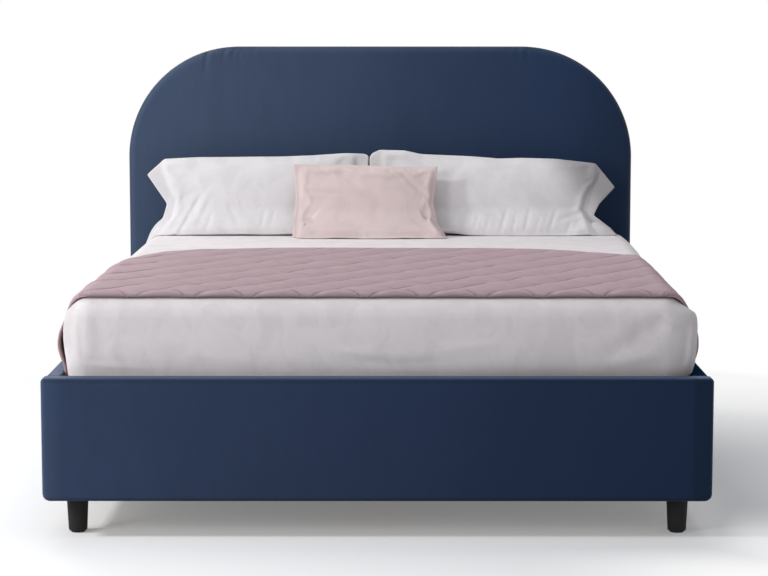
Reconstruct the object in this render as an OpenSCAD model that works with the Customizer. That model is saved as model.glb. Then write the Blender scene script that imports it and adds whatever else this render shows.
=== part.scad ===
// Upholstered storage bed: the mattress platform lifts from the foot end on two
// pairs of arms with gas springs, over a floor that holds what is stored.
// Millimetres. The origin is on the floor, below the middle of the bed.
// +Y points to the headboard, +X to the right of someone standing at the foot.

/* [Mattress and base] */
// Width of the mattress
mattress_w = 1600; // [1400:10:1800]
// Length of the mattress
mattress_l = 1900; // [1850:10:2100]
// Height of the mattress, with its sheet
mattress_h = 230; // [180:5:250]
// Height of the base's underside above the floor
base_z = 94; // [90:1:120]
// Height of the side rails and the foot rail
base_h = 318; // [305:1:340]
// Gap between the mattress and each side rail
side_gap = 10; // [9.6:0.2:20]
// Gap between the mattress and the foot rail
foot_gap = 15; // [13:1:30]
// Gap between the mattress and the headboard
head_gap = 12; // [11:1:25]
// Thickness of the foot rail, cover included
foot_rail_t = 45; // [40:1:60]
// Thickness of a side rail, cover included
side_rail_t = 37; // [34:1:50]
// Thickness of the board inside each rail
rail_board_t = 22; // [18:1:25]
// Padding above and below the rail boards
rail_pad = 12; // [8:1:16]
// How far the foot rail stands out past each side rail
foot_rail_reveal = 8; // [0:1:15]
// Radius of the foot rail's lower corners
rail_low_r = 20; // [18:1:45]
// Radius of the foot rail's upper corners
rail_top_r = 8; // [4:1:16]
// Radius of the padded edges of the rails
rail_edge_r = 16; // [8:1:20]

/* [Headboard] */
// Height of the headboard's top above the floor
head_top_z = 1236; // [1100:2:1300]
// Thickness of the headboard
head_t = 95; // [85:1:120]
// Radius of the headboard's upper corners
head_r = 375; // [250:5:420]
// Radius of the headboard's padded front edge
head_edge_r = 22; // [12:1:30]
// Thickness of the headboard's front padding
head_foam_t = 40; // [32:1:50]
// Thickness of the headboard's front board
head_board_t = 12; // [9:1:15]
// Width of the padding round the edge of the board
head_rim = 14; // [8:1:20]
// Width of an upright batten in the headboard
head_batten_w = 90; // [60:5:120]

/* [Feet] */
// Radius of a foot at the top
foot_top_r = 28; // [24:1:34]
// Radius of a foot at the bottom
foot_low_r = 24; // [20:1:24]
// Distance of the front feet from the front face
foot_set_y = 80; // [76:1:86]
// Distance of a foot from the outside of the foot rail
foot_set_x = 80; // [76:1:90]
// Height of the glide under each foot
glide_h = 3; // [2:0.5:5]
// Radius of the stud in the top of each foot
foot_stud_r = 4; // [3:0.5:5]

/* [Storage floor] */
// Thickness of the floor panels
floor_t = 10; // [6:1:12]
// Height of the ledges and the bearer under the floor
ledge_h = 18; // [15:1:18]
// Width of the ledges
ledge_w = 18; // [15:1:30]
// Width of the bearer under the middle of the floor
bearer_w = 70; // [58:2:100]
// Length of each side of a corner block
corner_block = 110; // [108:1:130]

/* [Platform] */
// Height of the platform frame's underside
frame_z = 332; // [328:1:336]
// Height of the frame tubes
frame_h = 30; // [25:1:32]
// Width of the frame tubes
tube_w = 20; // [18:1:25]
// Wall of the frame tubes
tube_wall = 1.5; // [1.2:0.1:2.5]
// Width of the frame's centre tube
centre_tube_w = 30; // [30:1:40]
// Distance of the platform's foot tube inside the mattress end
frame_foot_set = 5.5; // [4:0.5:12]
// Distance of the platform's head tube inside the mattress end
frame_head_set = 8.5; // [8:0.5:20]
// Number of slats on each side
slat_n = 14; // [10:1:16]
// Width of a slat
slat_w = 60; // [50:1:68]
// Thickness of a slat
slat_t = 8; // [7:0.5:9]
// Height of a slat's bow in its middle
slat_bow = 7.7; // [4:0.1:7.7]
// Depth of a slat's end in its holder
slat_grip = 26; // [18:1:30]

/* [Lift mechanism] */
// Thickness of the fixed lift plates
lift_plate_t = 4; // [3:0.5:4]
// Thickness of the arms and of the brackets on the frame
arm_t = 5; // [4:0.5:5]
// Distance of the rear arm's upper pivot from the headboard
rear_pivot_back = 369; // [360:1:380]
// Height of the rear arm's upper pivot
rear_pivot_z = 345; // [343:0.5:347]
// Length of the rear arm between its pivots
rear_arm_l = 272; // [268:1:276]
// Slope of the rear arm when the bed is closed
rear_arm_slope = 18; // [17:0.5:19]
// Distance of the front arm's lower pivot from the headboard
front_low_back = 783.9; // [780:0.1:788]
// Height of the front arm's lower pivot
front_low_z = 170; // [166:1:174]
// Distance of the front arm's upper pivot from the headboard
front_high_back = 431.2; // [428:0.1:434]
// Height of the front arm's upper pivot
front_high_z = 297.8; // [295:0.1:300]
// Width of the arms
arm_w = 30; // [26:1:32]
// Radius of the pivot pins
pin_r = 6; // [5:0.5:6]
// Running clearance of a pin in its hole, on the radius
pin_play = 0.05; // [0.03:0.01:0.1]
// Radius of the stud at the front arm's upper, open pivot
open_stud_r = 5; // [4:0.5:5]
// Clearance round the stud at the open pivot, on the radius
open_play = 2.3; // [2.2:0.1:2.6]

/* [Gas springs] */
// Distance of the lower ball stud from the headboard
gas_low_back = 533.5; // [531:0.5:536]
// Height of the lower ball stud
gas_low_z = 155.7; // [154:0.1:158]
// Distance of the upper ball stud from the headboard
gas_high_back = 706.7; // [704:0.1:709]
// Height of the upper ball stud
gas_high_z = 308; // [306:0.5:309]
// Radius of the cylinder
gas_r = 10; // [9:0.5:11]
// Wall of the cylinder
gas_wall = 1.6; // [1.2:0.1:2]
// Length of the cylinder
gas_tube_l = 170; // [160:1:180]
// Radius of the rod
gas_rod_r = 4; // [3.5:0.5:5]
// Clearance round the stud in the rod's open eye, on the radius
gas_play = 4.3; // [4.2:0.1:4.6]

/* [Bedding] */
// Radius of the mattress's upper edges
mattress_edge_r = 55; // [30:1:70]
// Radius of the mattress's upright corners
mattress_corner_r = 60; // [40:1:90]
// Thickness of the sheet
sheet_t = 3; // [2:0.5:5]
// Thickness of the quilt on top of the mattress
quilt_top_t = 16; // [9:1:20]
// Thickness of the quilt where it is tucked in beside the rails
quilt_t = 9; // [5:0.5:9]
// Length of the quilt along the bed, from its front hem
quilt_l = 1170; // [900:10:1400]
// Distance of the quilt's front hem from the mattress's end
quilt_set = 33; // [14:1:40]
// How far the quilt swells out at the left side
quilt_swell_left = 32; // [5:1:36]
// How far the quilt swells out at the right side
quilt_swell_right = 16; // [5:1:36]
// Width of the left pillow, flanges included
pillow_w = 750; // [600:10:770]
// Width of the right pillow, flanges included
pillow_right_w = 826; // [600:2:840]
// Height of a pillow, flanges included
pillow_h = 285; // [260:5:300]
// Thickness of a pillow
pillow_t = 140; // [100:5:150]
// Width of the flange round a pillow
pillow_flange = 38; // [20:1:50]
// How far a pillow's sides draw in between its corners
pillow_draw = 45; // [0:1:60]
// Width of the small cushion
cushion_w = 480; // [350:10:560]
// Height of the small cushion
cushion_h = 250; // [200:5:280]
// Thickness of the small cushion
cushion_t = 100; // [60:5:110]

/* [Hidden] */

cloth_blue = [0.17, 0.24, 0.36];
cloth_black = [0.09, 0.09, 0.1];
plastic_black = [0.1, 0.1, 0.1];
board_tan = [0.76, 0.62, 0.44];
birch = [0.86, 0.73, 0.54];
panel_grey = [0.72, 0.7, 0.67];
steel_black = [0.14, 0.14, 0.15];
steel_grey = [0.66, 0.67, 0.69];
linen_white = [0.93, 0.92, 0.93];
quilt_mauve = [0.71, 0.62, 0.64];
cushion_pink = [0.86, 0.77, 0.77];

$fn = 64;
fine_fn = 180;
slip = 0.3;
screw_play = 0.15;
eps = 0.01;

// Main places along the bed
bed_l = foot_rail_t + foot_gap + mattress_l + head_gap + head_t;
front_y = -bed_l / 2;
rail_in_y = front_y + foot_rail_t;
mattress_y0 = rail_in_y + foot_gap;
mattress_y1 = mattress_y0 + mattress_l;
head_y = mattress_y1 + head_gap;
back_y = bed_l / 2;

// Main places across the bed and above the floor
rail_in_x = mattress_w / 2 + side_gap;
rail_out_x = rail_in_x + side_rail_t;
foot_rail_x = rail_out_x + foot_rail_reveal;
base_top = base_z + base_h;
board_z0 = base_z + rail_pad;
board_z1 = base_top - rail_pad;
ledge_top = base_z + ledge_h;
floor_top = ledge_top + floor_t;
frame_top = frame_z + frame_h;
holder_base = 2;
mattress_z0 = frame_top + holder_base + slat_t + slat_bow + slip;
mattress_z1 = mattress_z0 + mattress_h;

// Layers of the lift mechanism, from the right side rail inwards
layer_gap = 1;
wide_gap = 3;
plate_x = rail_in_x - lift_plate_t;
rear_arm_x = plate_x - layer_gap - arm_t;
front_arm_x = rear_arm_x - wide_gap - arm_t;
bracket_x = front_arm_x - layer_gap - arm_t;
tube_x = bracket_x - tube_w;
gas_inset = 12;
gas_x = bracket_x - gas_inset;
gas_eye_w = 10;
gas_eye_rest = [0.1216, 3.5405];

// Pivots as [y, z] points
rear_high = [head_y - rear_pivot_back, rear_pivot_z];
rear_low = rear_high - rear_arm_l * [cos(rear_arm_slope), sin(rear_arm_slope)];
front_low = [head_y - front_low_back, front_low_z];
front_high = [head_y - front_high_back, front_high_z];
gas_low = [head_y - gas_low_back, gas_low_z];
gas_high = [head_y - gas_high_back, gas_high_z];
gas_eye = gas_high + gas_eye_rest;
gas_l = norm(gas_eye - gas_low);
gas_slope = atan2(gas_eye[1] - gas_low[1], gas_eye[0] - gas_low[0]);

// Small pieces of the lift mechanism
pin_head_t = 1.8;
pin_head_r = pin_r + 3.5;
pin_shoulder_r = pin_r + 3;
eye_r = gas_rod_r + 8;
open_eye_hole_r = open_stud_r + gas_play;
open_eye_r = open_eye_hole_r + 5;
plate_edge = 42;
plate_rim = 30;
plate_drop = 22;
plate_screw_set = 14;
lug_reach = 60;
lug_rim = 15;
plate_screw_r = 2.5;
plate_screw_head_r = 6;
plate_screw_l = 18;

// Brackets, bolts and the rest at the foot end
bracket_t = 3;
bracket_leg = 60;
bracket_z0 = 160;
bracket_z1 = 300;
bolt_r = 4;
bolt_head_r = 7.5;
bolt_head_t = 5;
bolt_grip = 17;
bolt_rise = [30, 110];
screw_head_t = 2;
foot_collar = 8;
glide_inset = 6;
rest_t = 42;
rest_z0 = 280;
rest_inset = 20;
rest_pad_places = [-0.75, -0.25, 0.25, 0.75];
pad_t = 4;
pad_r = 12;
strap_w = 30;
strap_t = 2;
strap_drop = 62;
strap_bay = 160;

// The two signs of a mirrored pair
sides = [-1, 1];

// Shapes drawn in the bed's upright planes
module across_x(x0, x1) {
    translate([x0, 0, 0]) rotate([90, 0, 90]) linear_extrude(x1 - x0) children();
}

module along_y(y0, y1) {
    translate([0, y1, 0]) rotate([90, 0, 0]) linear_extrude(y1 - y0) children();
}

module pin(at, r, x0, x1) {
    across_x(x0, x1) translate(at) circle(r);
}

module block(x, y, z) {
    translate([x[0], y[0], z[0]]) cube([x[1] - x[0], y[1] - y[0], z[1] - z[0]]);
}

// Point beside a, at a distance d to the left of the way from a to b
function beside(a, b, d) = a + d * [a[1] - b[1], b[0] - a[0]] / norm(b - a);

// Flat bar from a to b with a round eye at each end
module link(a, b, r_a, r_b) {
    half = min(r_a, r_b) * 0.88;
    translate(a) circle(r_a);
    translate(b) circle(r_b);
    polygon([beside(a, b, half), beside(a, b, -half), beside(b, a, half), beside(b, a, -half)]);
}

module left_of() {
    mirror([1, 0, 0]) children();
}

// Rectangle with its own radius at the lower and at the upper corners
module rounded_rect(x, y, r_low, r_top) {
    difference() {
        translate([x[0], y[0]]) square([x[1] - x[0], y[1] - y[0]]);
        for (s = [0, 1]) {
            corner_cut([x[s], y[0]], r_low, 1 - 2 * s, 1);
            corner_cut([x[s], y[1]], r_top, 1 - 2 * s, -1);
        }
    }
}

module corner_cut(at, r, sx, sy) {
    translate(at) scale_signs(sx, sy) difference() {
        translate([-1, -1]) square(r + 1);
        translate([r, r]) circle(r);
    }
}

module scale_signs(sx, sy) {
    mirror([sx < 0 ? 1 : 0, 0]) mirror([0, sy < 0 ? 1 : 0]) children();
}

// Headboard
module arch(inset) {
    half = foot_rail_x - inset;
    shoulder = head_top_z - head_r;
    translate([-half, base_z + inset]) square([2 * half, shoulder - base_z - inset]);
    translate([head_r - foot_rail_x, shoulder - eps])
        square([2 * (foot_rail_x - head_r), head_r - inset + eps]);
    for (s = sides)
        intersection() {
            translate([s * (foot_rail_x - head_r), shoulder]) circle(head_r - inset, $fn = fine_fn);
            translate([s > 0 ? foot_rail_x - head_r - eps : -foot_rail_x, shoulder - eps])
                square([head_r + eps, head_r + eps]);
        }
}

module padded_edge() {
    r = head_edge_r;
    shoulder = head_top_z - head_r;
    middle = foot_rail_x - head_r;
    for (s = sides)
        translate([s * (foot_rail_x - r), head_y + r, base_z + r])
            cylinder(h = shoulder - base_z - r, r = r);
    translate([-foot_rail_x + r, head_y + r, base_z + r]) rotate([0, 90, 0])
        cylinder(h = 2 * (foot_rail_x - r), r = r);
    for (s = sides)
        translate([s * (foot_rail_x - r), head_y + r, base_z + r]) sphere(r);
    translate([-middle, head_y + r, head_top_z - r]) rotate([0, 90, 0]) cylinder(h = 2 * middle, r = r);
    for (s = sides)
        translate([s * middle, head_y + r, shoulder]) rotate([90, 0, 0])
            rotate([0, 0, s > 0 ? 0 : 90]) rotate_extrude(angle = 90, $fn = fine_fn)
                translate([head_r - r, 0]) circle(r, $fn = 32);
}

head_board_y0 = head_y + head_foam_t;
head_board_y1 = head_board_y0 + head_board_t;
back_cloth_t = 2;
back_cloth_inset = 6;
head_batten_y1 = back_y - back_cloth_t;
side_batten_x = foot_rail_x - head_rim - head_batten_w / 2;

module headboard_padding() {
    color(cloth_blue) difference() {
        union() {
            along_y(head_y, head_batten_y1) arch(head_edge_r);
            along_y(head_y + head_edge_r, head_batten_y1) arch(0);
            padded_edge();
        }
        along_y(head_board_y0, back_y) arch(head_rim);
        for (s = sides)
            bracket_bolts_at(s, 1) cylinder(h = head_foam_t + 2 * bolt_grip, r = bolt_r + screw_play);
    }
}

module headboard_board() {
    color(board_tan) difference() {
        along_y(head_board_y0, head_board_y1) arch(head_rim);
        for (s = sides)
            bracket_bolts_at(s, 1) cylinder(h = head_foam_t + 2 * bolt_grip, r = bolt_r + screw_play);
    }
}

module headboard_battens() {
    color(board_tan)
        for (s = [-1, 0, 1])
            block([s * side_batten_x - head_batten_w / 2, s * side_batten_x + head_batten_w / 2],
                [head_board_y1, head_batten_y1],
                [base_z + head_rim, s == 0 ? head_top_z - head_rim : head_top_z - head_r]);
}

module headboard_back_cloth() {
    color(cloth_black) along_y(head_batten_y1, back_y) arch(back_cloth_inset);
}

// Foot rail and side rails
foot_board_y0 = rail_in_y - rail_board_t;

module foot_rail_board() {
    color(board_tan) difference() {
        block([-foot_rail_x + rail_pad, foot_rail_x - rail_pad], [foot_board_y0, rail_in_y],
            [board_z0, board_z1]);
        for (s = sides)
            bracket_bolts_at(s, -1) cylinder(h = bolt_grip + 1, r = bolt_r + screw_play);
    }
}

module foot_rail_cover() {
    color(cloth_blue) difference() {
        intersection() {
            along_y(front_y, rail_in_y)
                rounded_rect([-foot_rail_x, foot_rail_x], [base_z, base_top], rail_low_r, rail_top_r);
            across_x(-foot_rail_x, foot_rail_x) difference() {
                translate([front_y, base_z]) square([foot_rail_t, base_h]);
                corner_cut([front_y, base_z], rail_edge_r, 1, 1);
                corner_cut([front_y, base_top], rail_edge_r, 1, -1);
            }
            translate([0, 0, base_z]) linear_extrude(base_h) difference() {
                translate([-foot_rail_x, front_y]) square([2 * foot_rail_x, foot_rail_t]);
                corner_cut([-foot_rail_x, front_y], rail_edge_r, 1, 1);
                corner_cut([foot_rail_x, front_y], rail_edge_r, -1, 1);
            }
        }
        block([-foot_rail_x + rail_pad, foot_rail_x - rail_pad], [foot_board_y0, rail_in_y + 1],
            [board_z0, board_z1]);
    }
}

module side_board() {
    difference() {
        block([rail_in_x, rail_in_x + rail_board_t], [rail_in_y, head_y], [board_z0, board_z1]);
        side_bolts_at() cylinder(h = bolt_grip + 1, r = bolt_r + screw_play);
        plate_screws_at() cylinder(h = plate_screw_l + 1, r = plate_screw_r + screw_play);
    }
}

module side_cover() {
    along_y(rail_in_y, head_y) difference() {
        translate([rail_in_x, base_z]) square([side_rail_t, base_h]);
        corner_cut([rail_out_x, base_z], rail_edge_r, -1, 1);
        corner_cut([rail_out_x, base_top], rail_edge_r, -1, -1);
        translate([rail_in_x - 1, board_z0]) square([rail_board_t + 1, board_z1 - board_z0]);
    }
}

module left_rail_board() {
    color(board_tan) left_of() side_board();
}

module right_rail_board() {
    color(board_tan) side_board();
}

module left_rail_cover() {
    color(cloth_blue) left_of() side_cover();
}

module right_rail_cover() {
    color(cloth_blue) side_cover();
}

// Corner brackets and bolts. Each set of children is drawn along its bolt's own axis,
// starting on the face that the bracket lies on.
module end_flip(end) {
    y = end > 0 ? head_y : rail_in_y;
    translate([0, y, 0]) mirror([0, end > 0 ? 1 : 0, 0]) children();
}

module bracket_bolts_at(side, end) {
    mirror([side < 0 ? 1 : 0, 0, 0]) end_flip(end)
        for (z = bolt_rise)
            translate([rail_in_x - bracket_leg / 2 - bracket_t, 0, bracket_z0 + z])
                rotate([90, 0, 0]) children();
}

module side_bolts_at() {
    for (end = sides) end_flip(end)
        for (z = bolt_rise)
            translate([rail_in_x, bracket_leg / 2 + bracket_t, bracket_z0 + z])
                rotate([0, 90, 0]) children();
}

module corner_bracket() {
    color(steel_grey) difference() {
        union() {
            block([rail_in_x - bracket_leg, rail_in_x], [0, bracket_t], [bracket_z0, bracket_z1]);
            block([rail_in_x - bracket_t, rail_in_x], [0, bracket_leg], [bracket_z0, bracket_z1]);
        }
        for (z = bolt_rise) {
            translate([rail_in_x - bracket_leg / 2 - bracket_t, -1, bracket_z0 + z]) rotate([-90, 0, 0])
                cylinder(h = bracket_t + 2, r = bolt_r + screw_play);
            translate([rail_in_x - bracket_t - 1, bracket_leg / 2 + bracket_t, bracket_z0 + z])
                rotate([0, 90, 0]) cylinder(h = bracket_t + 2, r = bolt_r + screw_play);
        }
    }
}

module bracket_foot_left() {
    left_of() end_flip(-1) corner_bracket();
}

module bracket_foot_right() {
    end_flip(-1) corner_bracket();
}

module bracket_head_left() {
    left_of() end_flip(1) corner_bracket();
}

module bracket_head_right() {
    end_flip(1) corner_bracket();
}

module bolt(grip) {
    translate([0, 0, -bracket_t]) cylinder(h = bracket_t + grip, r = bolt_r);
    translate([0, 0, -bracket_t - bolt_head_t]) difference() {
        cylinder(h = bolt_head_t, r = bolt_head_r);
        translate([0, 0, -1]) cylinder(h = 1 + bolt_head_t / 2, r = bolt_r * 0.8, $fn = 6);
    }
}

module plate_screw() {
    translate([0, 0, -lift_plate_t]) cylinder(h = lift_plate_t + plate_screw_l, r = plate_screw_r);
    translate([0, 0, -lift_plate_t - screw_head_t]) cylinder(h = screw_head_t, r = plate_screw_head_r);
}

module frame_bolts() {
    color(steel_grey) {
        for (side = sides) {
            bracket_bolts_at(side, -1) bolt(bolt_grip);
            bracket_bolts_at(side, 1) bolt(head_foam_t + head_board_t - 2);
            mirror([side < 0 ? 1 : 0, 0, 0]) {
                side_bolts_at() bolt(bolt_grip);
                plate_screws_at() plate_screw();
            }
        }
    }
}

// Feet, and the blocks and the bearer that they are screwed to
foot_x = foot_rail_x - foot_set_x;
front_foot_y = front_y + foot_set_y;
rear_foot_y = head_y - (front_foot_y - rail_in_y);

module foot() {
    edge = 5;
    lean = foot_top_r - foot_low_r;
    color(plastic_black) {
        rotate_extrude() {
            polygon([[0, glide_h], [foot_low_r - edge, glide_h], for (a = [-75 : 15 : 0])
                    [foot_low_r - edge + edge * cos(a), glide_h + edge + edge * sin(a)],
                [foot_top_r - lean * 0.06, base_z - foot_collar], [foot_top_r, base_z], [0, base_z]]);
        }
        translate([0, 0, base_z - eps]) cylinder(h = ledge_h - 2, r = foot_stud_r);
    }
}

module foot_front_left() {
    translate([-foot_x, front_foot_y, 0]) foot();
}

module foot_front_right() {
    translate([foot_x, front_foot_y, 0]) foot();
}

module foot_rear_left() {
    translate([-foot_x, rear_foot_y, 0]) foot();
}

module foot_rear_right() {
    translate([foot_x, rear_foot_y, 0]) foot();
}

module foot_centre() {
    foot();
}

module at_each_foot() {
    for (x = [-foot_x, foot_x], y = [front_foot_y, rear_foot_y]) translate([x, y, 0]) children();
    children();
}

module foot_glides() {
    color(cloth_black) at_each_foot() cylinder(h = glide_h, r = foot_low_r - glide_inset);
}

module corner_blocks() {
    color(board_tan)
        for (x = sides, y = [0, 1])
            mirror([x < 0 ? 1 : 0, 0, 0]) difference() {
                block([rail_in_x - corner_block, rail_in_x],
                    y == 0 ? [rail_in_y, rail_in_y + corner_block] : [head_y - corner_block, head_y],
                    [base_z, ledge_top]);
                translate([foot_x, y == 0 ? front_foot_y : rear_foot_y, base_z - 1])
                    cylinder(h = ledge_h + 2, r = foot_stud_r + screw_play);
            }
}

module centre_bearer() {
    color(board_tan) difference() {
        block([-bearer_w / 2, bearer_w / 2], [rail_in_y, head_y], [base_z, ledge_top]);
        translate([0, 0, base_z - 1]) cylinder(h = ledge_h + 2, r = foot_stud_r + screw_play);
    }
}

module floor_ledges() {
    color(board_tan)
        for (side = sides) mirror([side < 0 ? 1 : 0, 0, 0]) {
            block([rail_in_x - ledge_w, rail_in_x], [rail_in_y + corner_block, head_y - corner_block],
                [base_z, ledge_top]);
            for (y = [rail_in_y, head_y - ledge_w])
                block([bearer_w / 2, rail_in_x - corner_block], [y, y + ledge_w], [base_z, ledge_top]);
        }
}

// Storage floor
seam_half = 1.2;
floor_play = 1;

module floor_panel() {
    color(panel_grey)
        block([seam_half, rail_in_x - floor_play], [rail_in_y + floor_play, head_y - floor_play],
            [ledge_top, floor_top]);
}

module floor_panel_left() {
    left_of() floor_panel();
}

module floor_panel_right() {
    floor_panel();
}

module floor_joint_strip() {
    strip_half = 15;
    strip_cap = 1.8;
    color(panel_grey) {
        block([-seam_half, seam_half], [rail_in_y + floor_play, head_y - floor_play],
            [ledge_top, floor_top + eps]);
        block([-strip_half, strip_half], [rail_in_y + floor_play, head_y - floor_play],
            [floor_top, floor_top + strip_cap]);
    }
}

// Fixed side of the lift mechanism
plate_low = min(front_low[1], gas_low[1]) - plate_drop;
plate_front = front_low[0] - plate_edge;
plate_back = gas_low[0] + plate_edge;
screw_points = [[plate_front + plate_screw_set, plate_low + plate_screw_set],
    [(front_low[0] + gas_low[0]) / 2, plate_low + plate_screw_set],
    [plate_back - plate_screw_set, plate_low + plate_screw_set],
    [rear_low[0] - plate_edge, rear_low[1] - plate_drop]];

module plate_screws_at() {
    for (p = screw_points) translate([rail_in_x, p[0], p[1]]) rotate([0, 90, 0]) children();
}

module lift_plate() {
    color(steel_black) difference() {
        across_x(plate_x, rail_in_x) {
            polygon([[plate_front, plate_low], [plate_back, plate_low],
                [plate_back, gas_low[1] + plate_rim],
                [rear_low[0] + plate_edge, rear_low[1] + plate_rim],
                [rear_low[0] - plate_edge, rear_low[1] + plate_rim],
                [plate_front, front_low[1] + plate_rim]]);
        }
        pin(rear_low, pin_r + screw_play, plate_x - 1, rail_in_x + 1);
        pin(front_low, pin_r + screw_play, plate_x - 1, rail_in_x + 1);
        pin(gas_low, open_stud_r + screw_play, plate_x - 1, rail_in_x + 1);
        plate_screws_at() translate([0, 0, -lift_plate_t - 1])
            cylinder(h = lift_plate_t + 2, r = plate_screw_r + screw_play);
    }
}

module lift_plate_left() {
    left_of() lift_plate();
}

module lift_plate_right() {
    lift_plate();
}

// A stud with two collars that holds a gas spring's eye between them
module spring_stud(at, x_end, collar_r) {
    eye_in = gas_x - gas_eye_w / 2 - slip;
    eye_out = gas_x + gas_eye_w / 2 + slip;
    pin(at, open_stud_r, eye_in - pin_head_t, x_end);
    pin(at, collar_r, eye_in - pin_head_t, eye_in);
    pin(at, collar_r, eye_out, eye_out + pin_head_t);
}

module fixed_pins() {
    pin(rear_low, pin_r, rear_arm_x - slip - pin_head_t, rail_in_x);
    pin(rear_low, pin_head_r, rear_arm_x - slip - pin_head_t, rear_arm_x - slip);
    pin(rear_low, pin_shoulder_r, rear_arm_x + arm_t + slip, plate_x);
    pin(front_low, pin_r, front_arm_x - slip - pin_head_t, rail_in_x);
    pin(front_low, pin_head_r, front_arm_x - slip - pin_head_t, front_arm_x - slip);
    pin(front_low, pin_shoulder_r, front_arm_x + arm_t + slip, plate_x);
    spring_stud(gas_low, rail_in_x, open_stud_r + 3);
    pin(gas_low, open_stud_r + 3, gas_x + gas_eye_w / 2 + slip, plate_x);
}

module fixed_pivot_pins() {
    color(steel_grey) {
        fixed_pins();
        left_of() fixed_pins();
    }
}

// Rear arm
module rear_arm() {
    color(steel_black) difference() {
        across_x(rear_arm_x, rear_arm_x + arm_t) link(rear_low, rear_high, arm_w / 2, arm_w / 2);
        pin(rear_low, pin_r + pin_play, rear_arm_x - 1, rear_arm_x + arm_t + 1);
        pin(rear_high, pin_r + pin_play, rear_arm_x - 1, rear_arm_x + arm_t + 1);
    }
}

module rear_arm_left() {
    left_of() rear_arm();
}

module rear_arm_right() {
    rear_arm();
}

// Front arm, with the lobe that the gas spring pushes on
module front_arm() {
    web = front_low + (front_high - front_low) * 0.55;
    color(steel_black) difference() {
        across_x(front_arm_x, front_arm_x + arm_t) difference() {
            union() {
                link(front_low, front_high, arm_w * 0.55, arm_w / 2);
                translate(gas_high) circle(arm_w * 0.4);
                polygon([beside(front_low, gas_high, arm_w * 0.35), front_low, web,
                    beside(gas_high, web, arm_w * 0.3), beside(gas_high, front_low, -arm_w * 0.35)]);
            }
            translate((front_low + gas_high + web) / 3) circle(arm_w / 2);
        }
        pin(front_low, pin_r + pin_play, front_arm_x - 1, front_arm_x + arm_t + 1);
        pin(front_high, open_stud_r + open_play, front_arm_x - 1, front_arm_x + arm_t + 1);
        pin(gas_high, open_stud_r + screw_play, front_arm_x - 1, front_arm_x + arm_t + 1);
    }
}

module front_arm_left() {
    left_of() front_arm();
}

module front_arm_right() {
    front_arm();
}

module spring_studs() {
    color(steel_grey) {
        for (side = [0, 1]) mirror([side, 0, 0]) {
            spring_stud(gas_high, front_arm_x + arm_t, open_eye_hole_r + 2.2);
            pin(gas_high, open_stud_r + 2.5, gas_x + gas_eye_w / 2 + slip, front_arm_x);
        }
    }
}

// Gas springs, drawn along their own axis from the lower eye
module on_spring() {
    translate([gas_x, gas_low[0], gas_low[1]]) rotate([gas_slope, 0, 0]) rotate([-90, 0, 0]) children();
}

tube_start = eye_r - 3;
gas_base_t = 4;
gland_l = 12;
piston_at = tube_start + 10;
piston_l = 8;

module gas_cylinder() {
    color(steel_black) difference() {
        union() {
            pin(gas_low, eye_r, gas_x - gas_eye_w / 2, gas_x + gas_eye_w / 2);
            on_spring() translate([0, 0, tube_start]) cylinder(h = gas_tube_l, r = gas_r);
            on_spring() cylinder(h = tube_start + 1, r = gas_eye_w / 2);
        }
        pin(gas_low, open_stud_r + pin_play, gas_x - gas_eye_w, gas_x + gas_eye_w);
        on_spring() translate([0, 0, tube_start + gas_base_t])
            cylinder(h = gas_tube_l - gland_l - gas_base_t, r = gas_r - gas_wall);
        on_spring() translate([0, 0, tube_start + gas_tube_l - gland_l - 1])
            cylinder(h = gland_l + 2, r = gas_rod_r + pin_play);
    }
}

module gas_rod() {
    color(steel_grey) difference() {
        union() {
            on_spring() translate([0, 0, piston_at])
                cylinder(h = gas_l - piston_at - open_eye_hole_r - 1, r = gas_rod_r);
            on_spring() translate([0, 0, piston_at]) cylinder(h = piston_l, r = gas_r - gas_wall - slip);
            pin(gas_eye, open_eye_r, gas_x - gas_eye_w / 2, gas_x + gas_eye_w / 2);
        }
        pin(gas_eye, open_eye_hole_r, gas_x - gas_eye_w, gas_x + gas_eye_w);
    }
}

module gas_cylinder_left() {
    left_of() gas_cylinder();
}

module gas_cylinder_right() {
    gas_cylinder();
}

module gas_rod_left() {
    left_of() gas_rod();
}

module gas_rod_right() {
    gas_rod();
}

// Platform frame
frame_y0 = mattress_y0 + frame_foot_set;
frame_y1 = mattress_y1 - frame_head_set;

module lift_bracket() {
    color(steel_black) difference() {
        across_x(bracket_x, bracket_x + arm_t)
            polygon([[front_high[0] - lug_reach, frame_top], [front_high[0] - lug_reach, frame_z],
                [front_high[0] - lug_rim, front_high[1] - lug_rim],
                [front_high[0] + lug_rim, front_high[1] - lug_rim],
                [rear_high[0] + lug_rim, rear_high[1] - lug_rim],
                [rear_high[0] + lug_reach, frame_z], [rear_high[0] + lug_reach, frame_top]]);
        pin(rear_high, pin_r + screw_play, bracket_x - 1, bracket_x + arm_t + 1);
        pin(front_high, open_stud_r + screw_play, bracket_x - 1, bracket_x + arm_t + 1);
    }
}

module lift_bracket_left() {
    left_of() lift_bracket();
}

module lift_bracket_right() {
    lift_bracket();
}

module lift_pivot_studs() {
    color(steel_grey)
        for (side = [0, 1]) mirror([side, 0, 0]) {
            pin(rear_high, pin_r, bracket_x, rear_arm_x + arm_t + slip + pin_head_t);
            pin(rear_high, pin_shoulder_r, bracket_x + arm_t, rear_arm_x - slip);
            pin(rear_high, pin_head_r, rear_arm_x + arm_t + slip, rear_arm_x + arm_t + slip + pin_head_t);
            pin(front_high, open_stud_r, bracket_x, front_arm_x + arm_t + slip + pin_head_t);
            pin(front_high, open_stud_r + open_play + 3, front_arm_x + arm_t + slip,
                front_arm_x + arm_t + slip + pin_head_t);
            pin(front_high, open_stud_r + open_play + 1, bracket_x + arm_t, front_arm_x - slip);
        }
}

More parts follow.
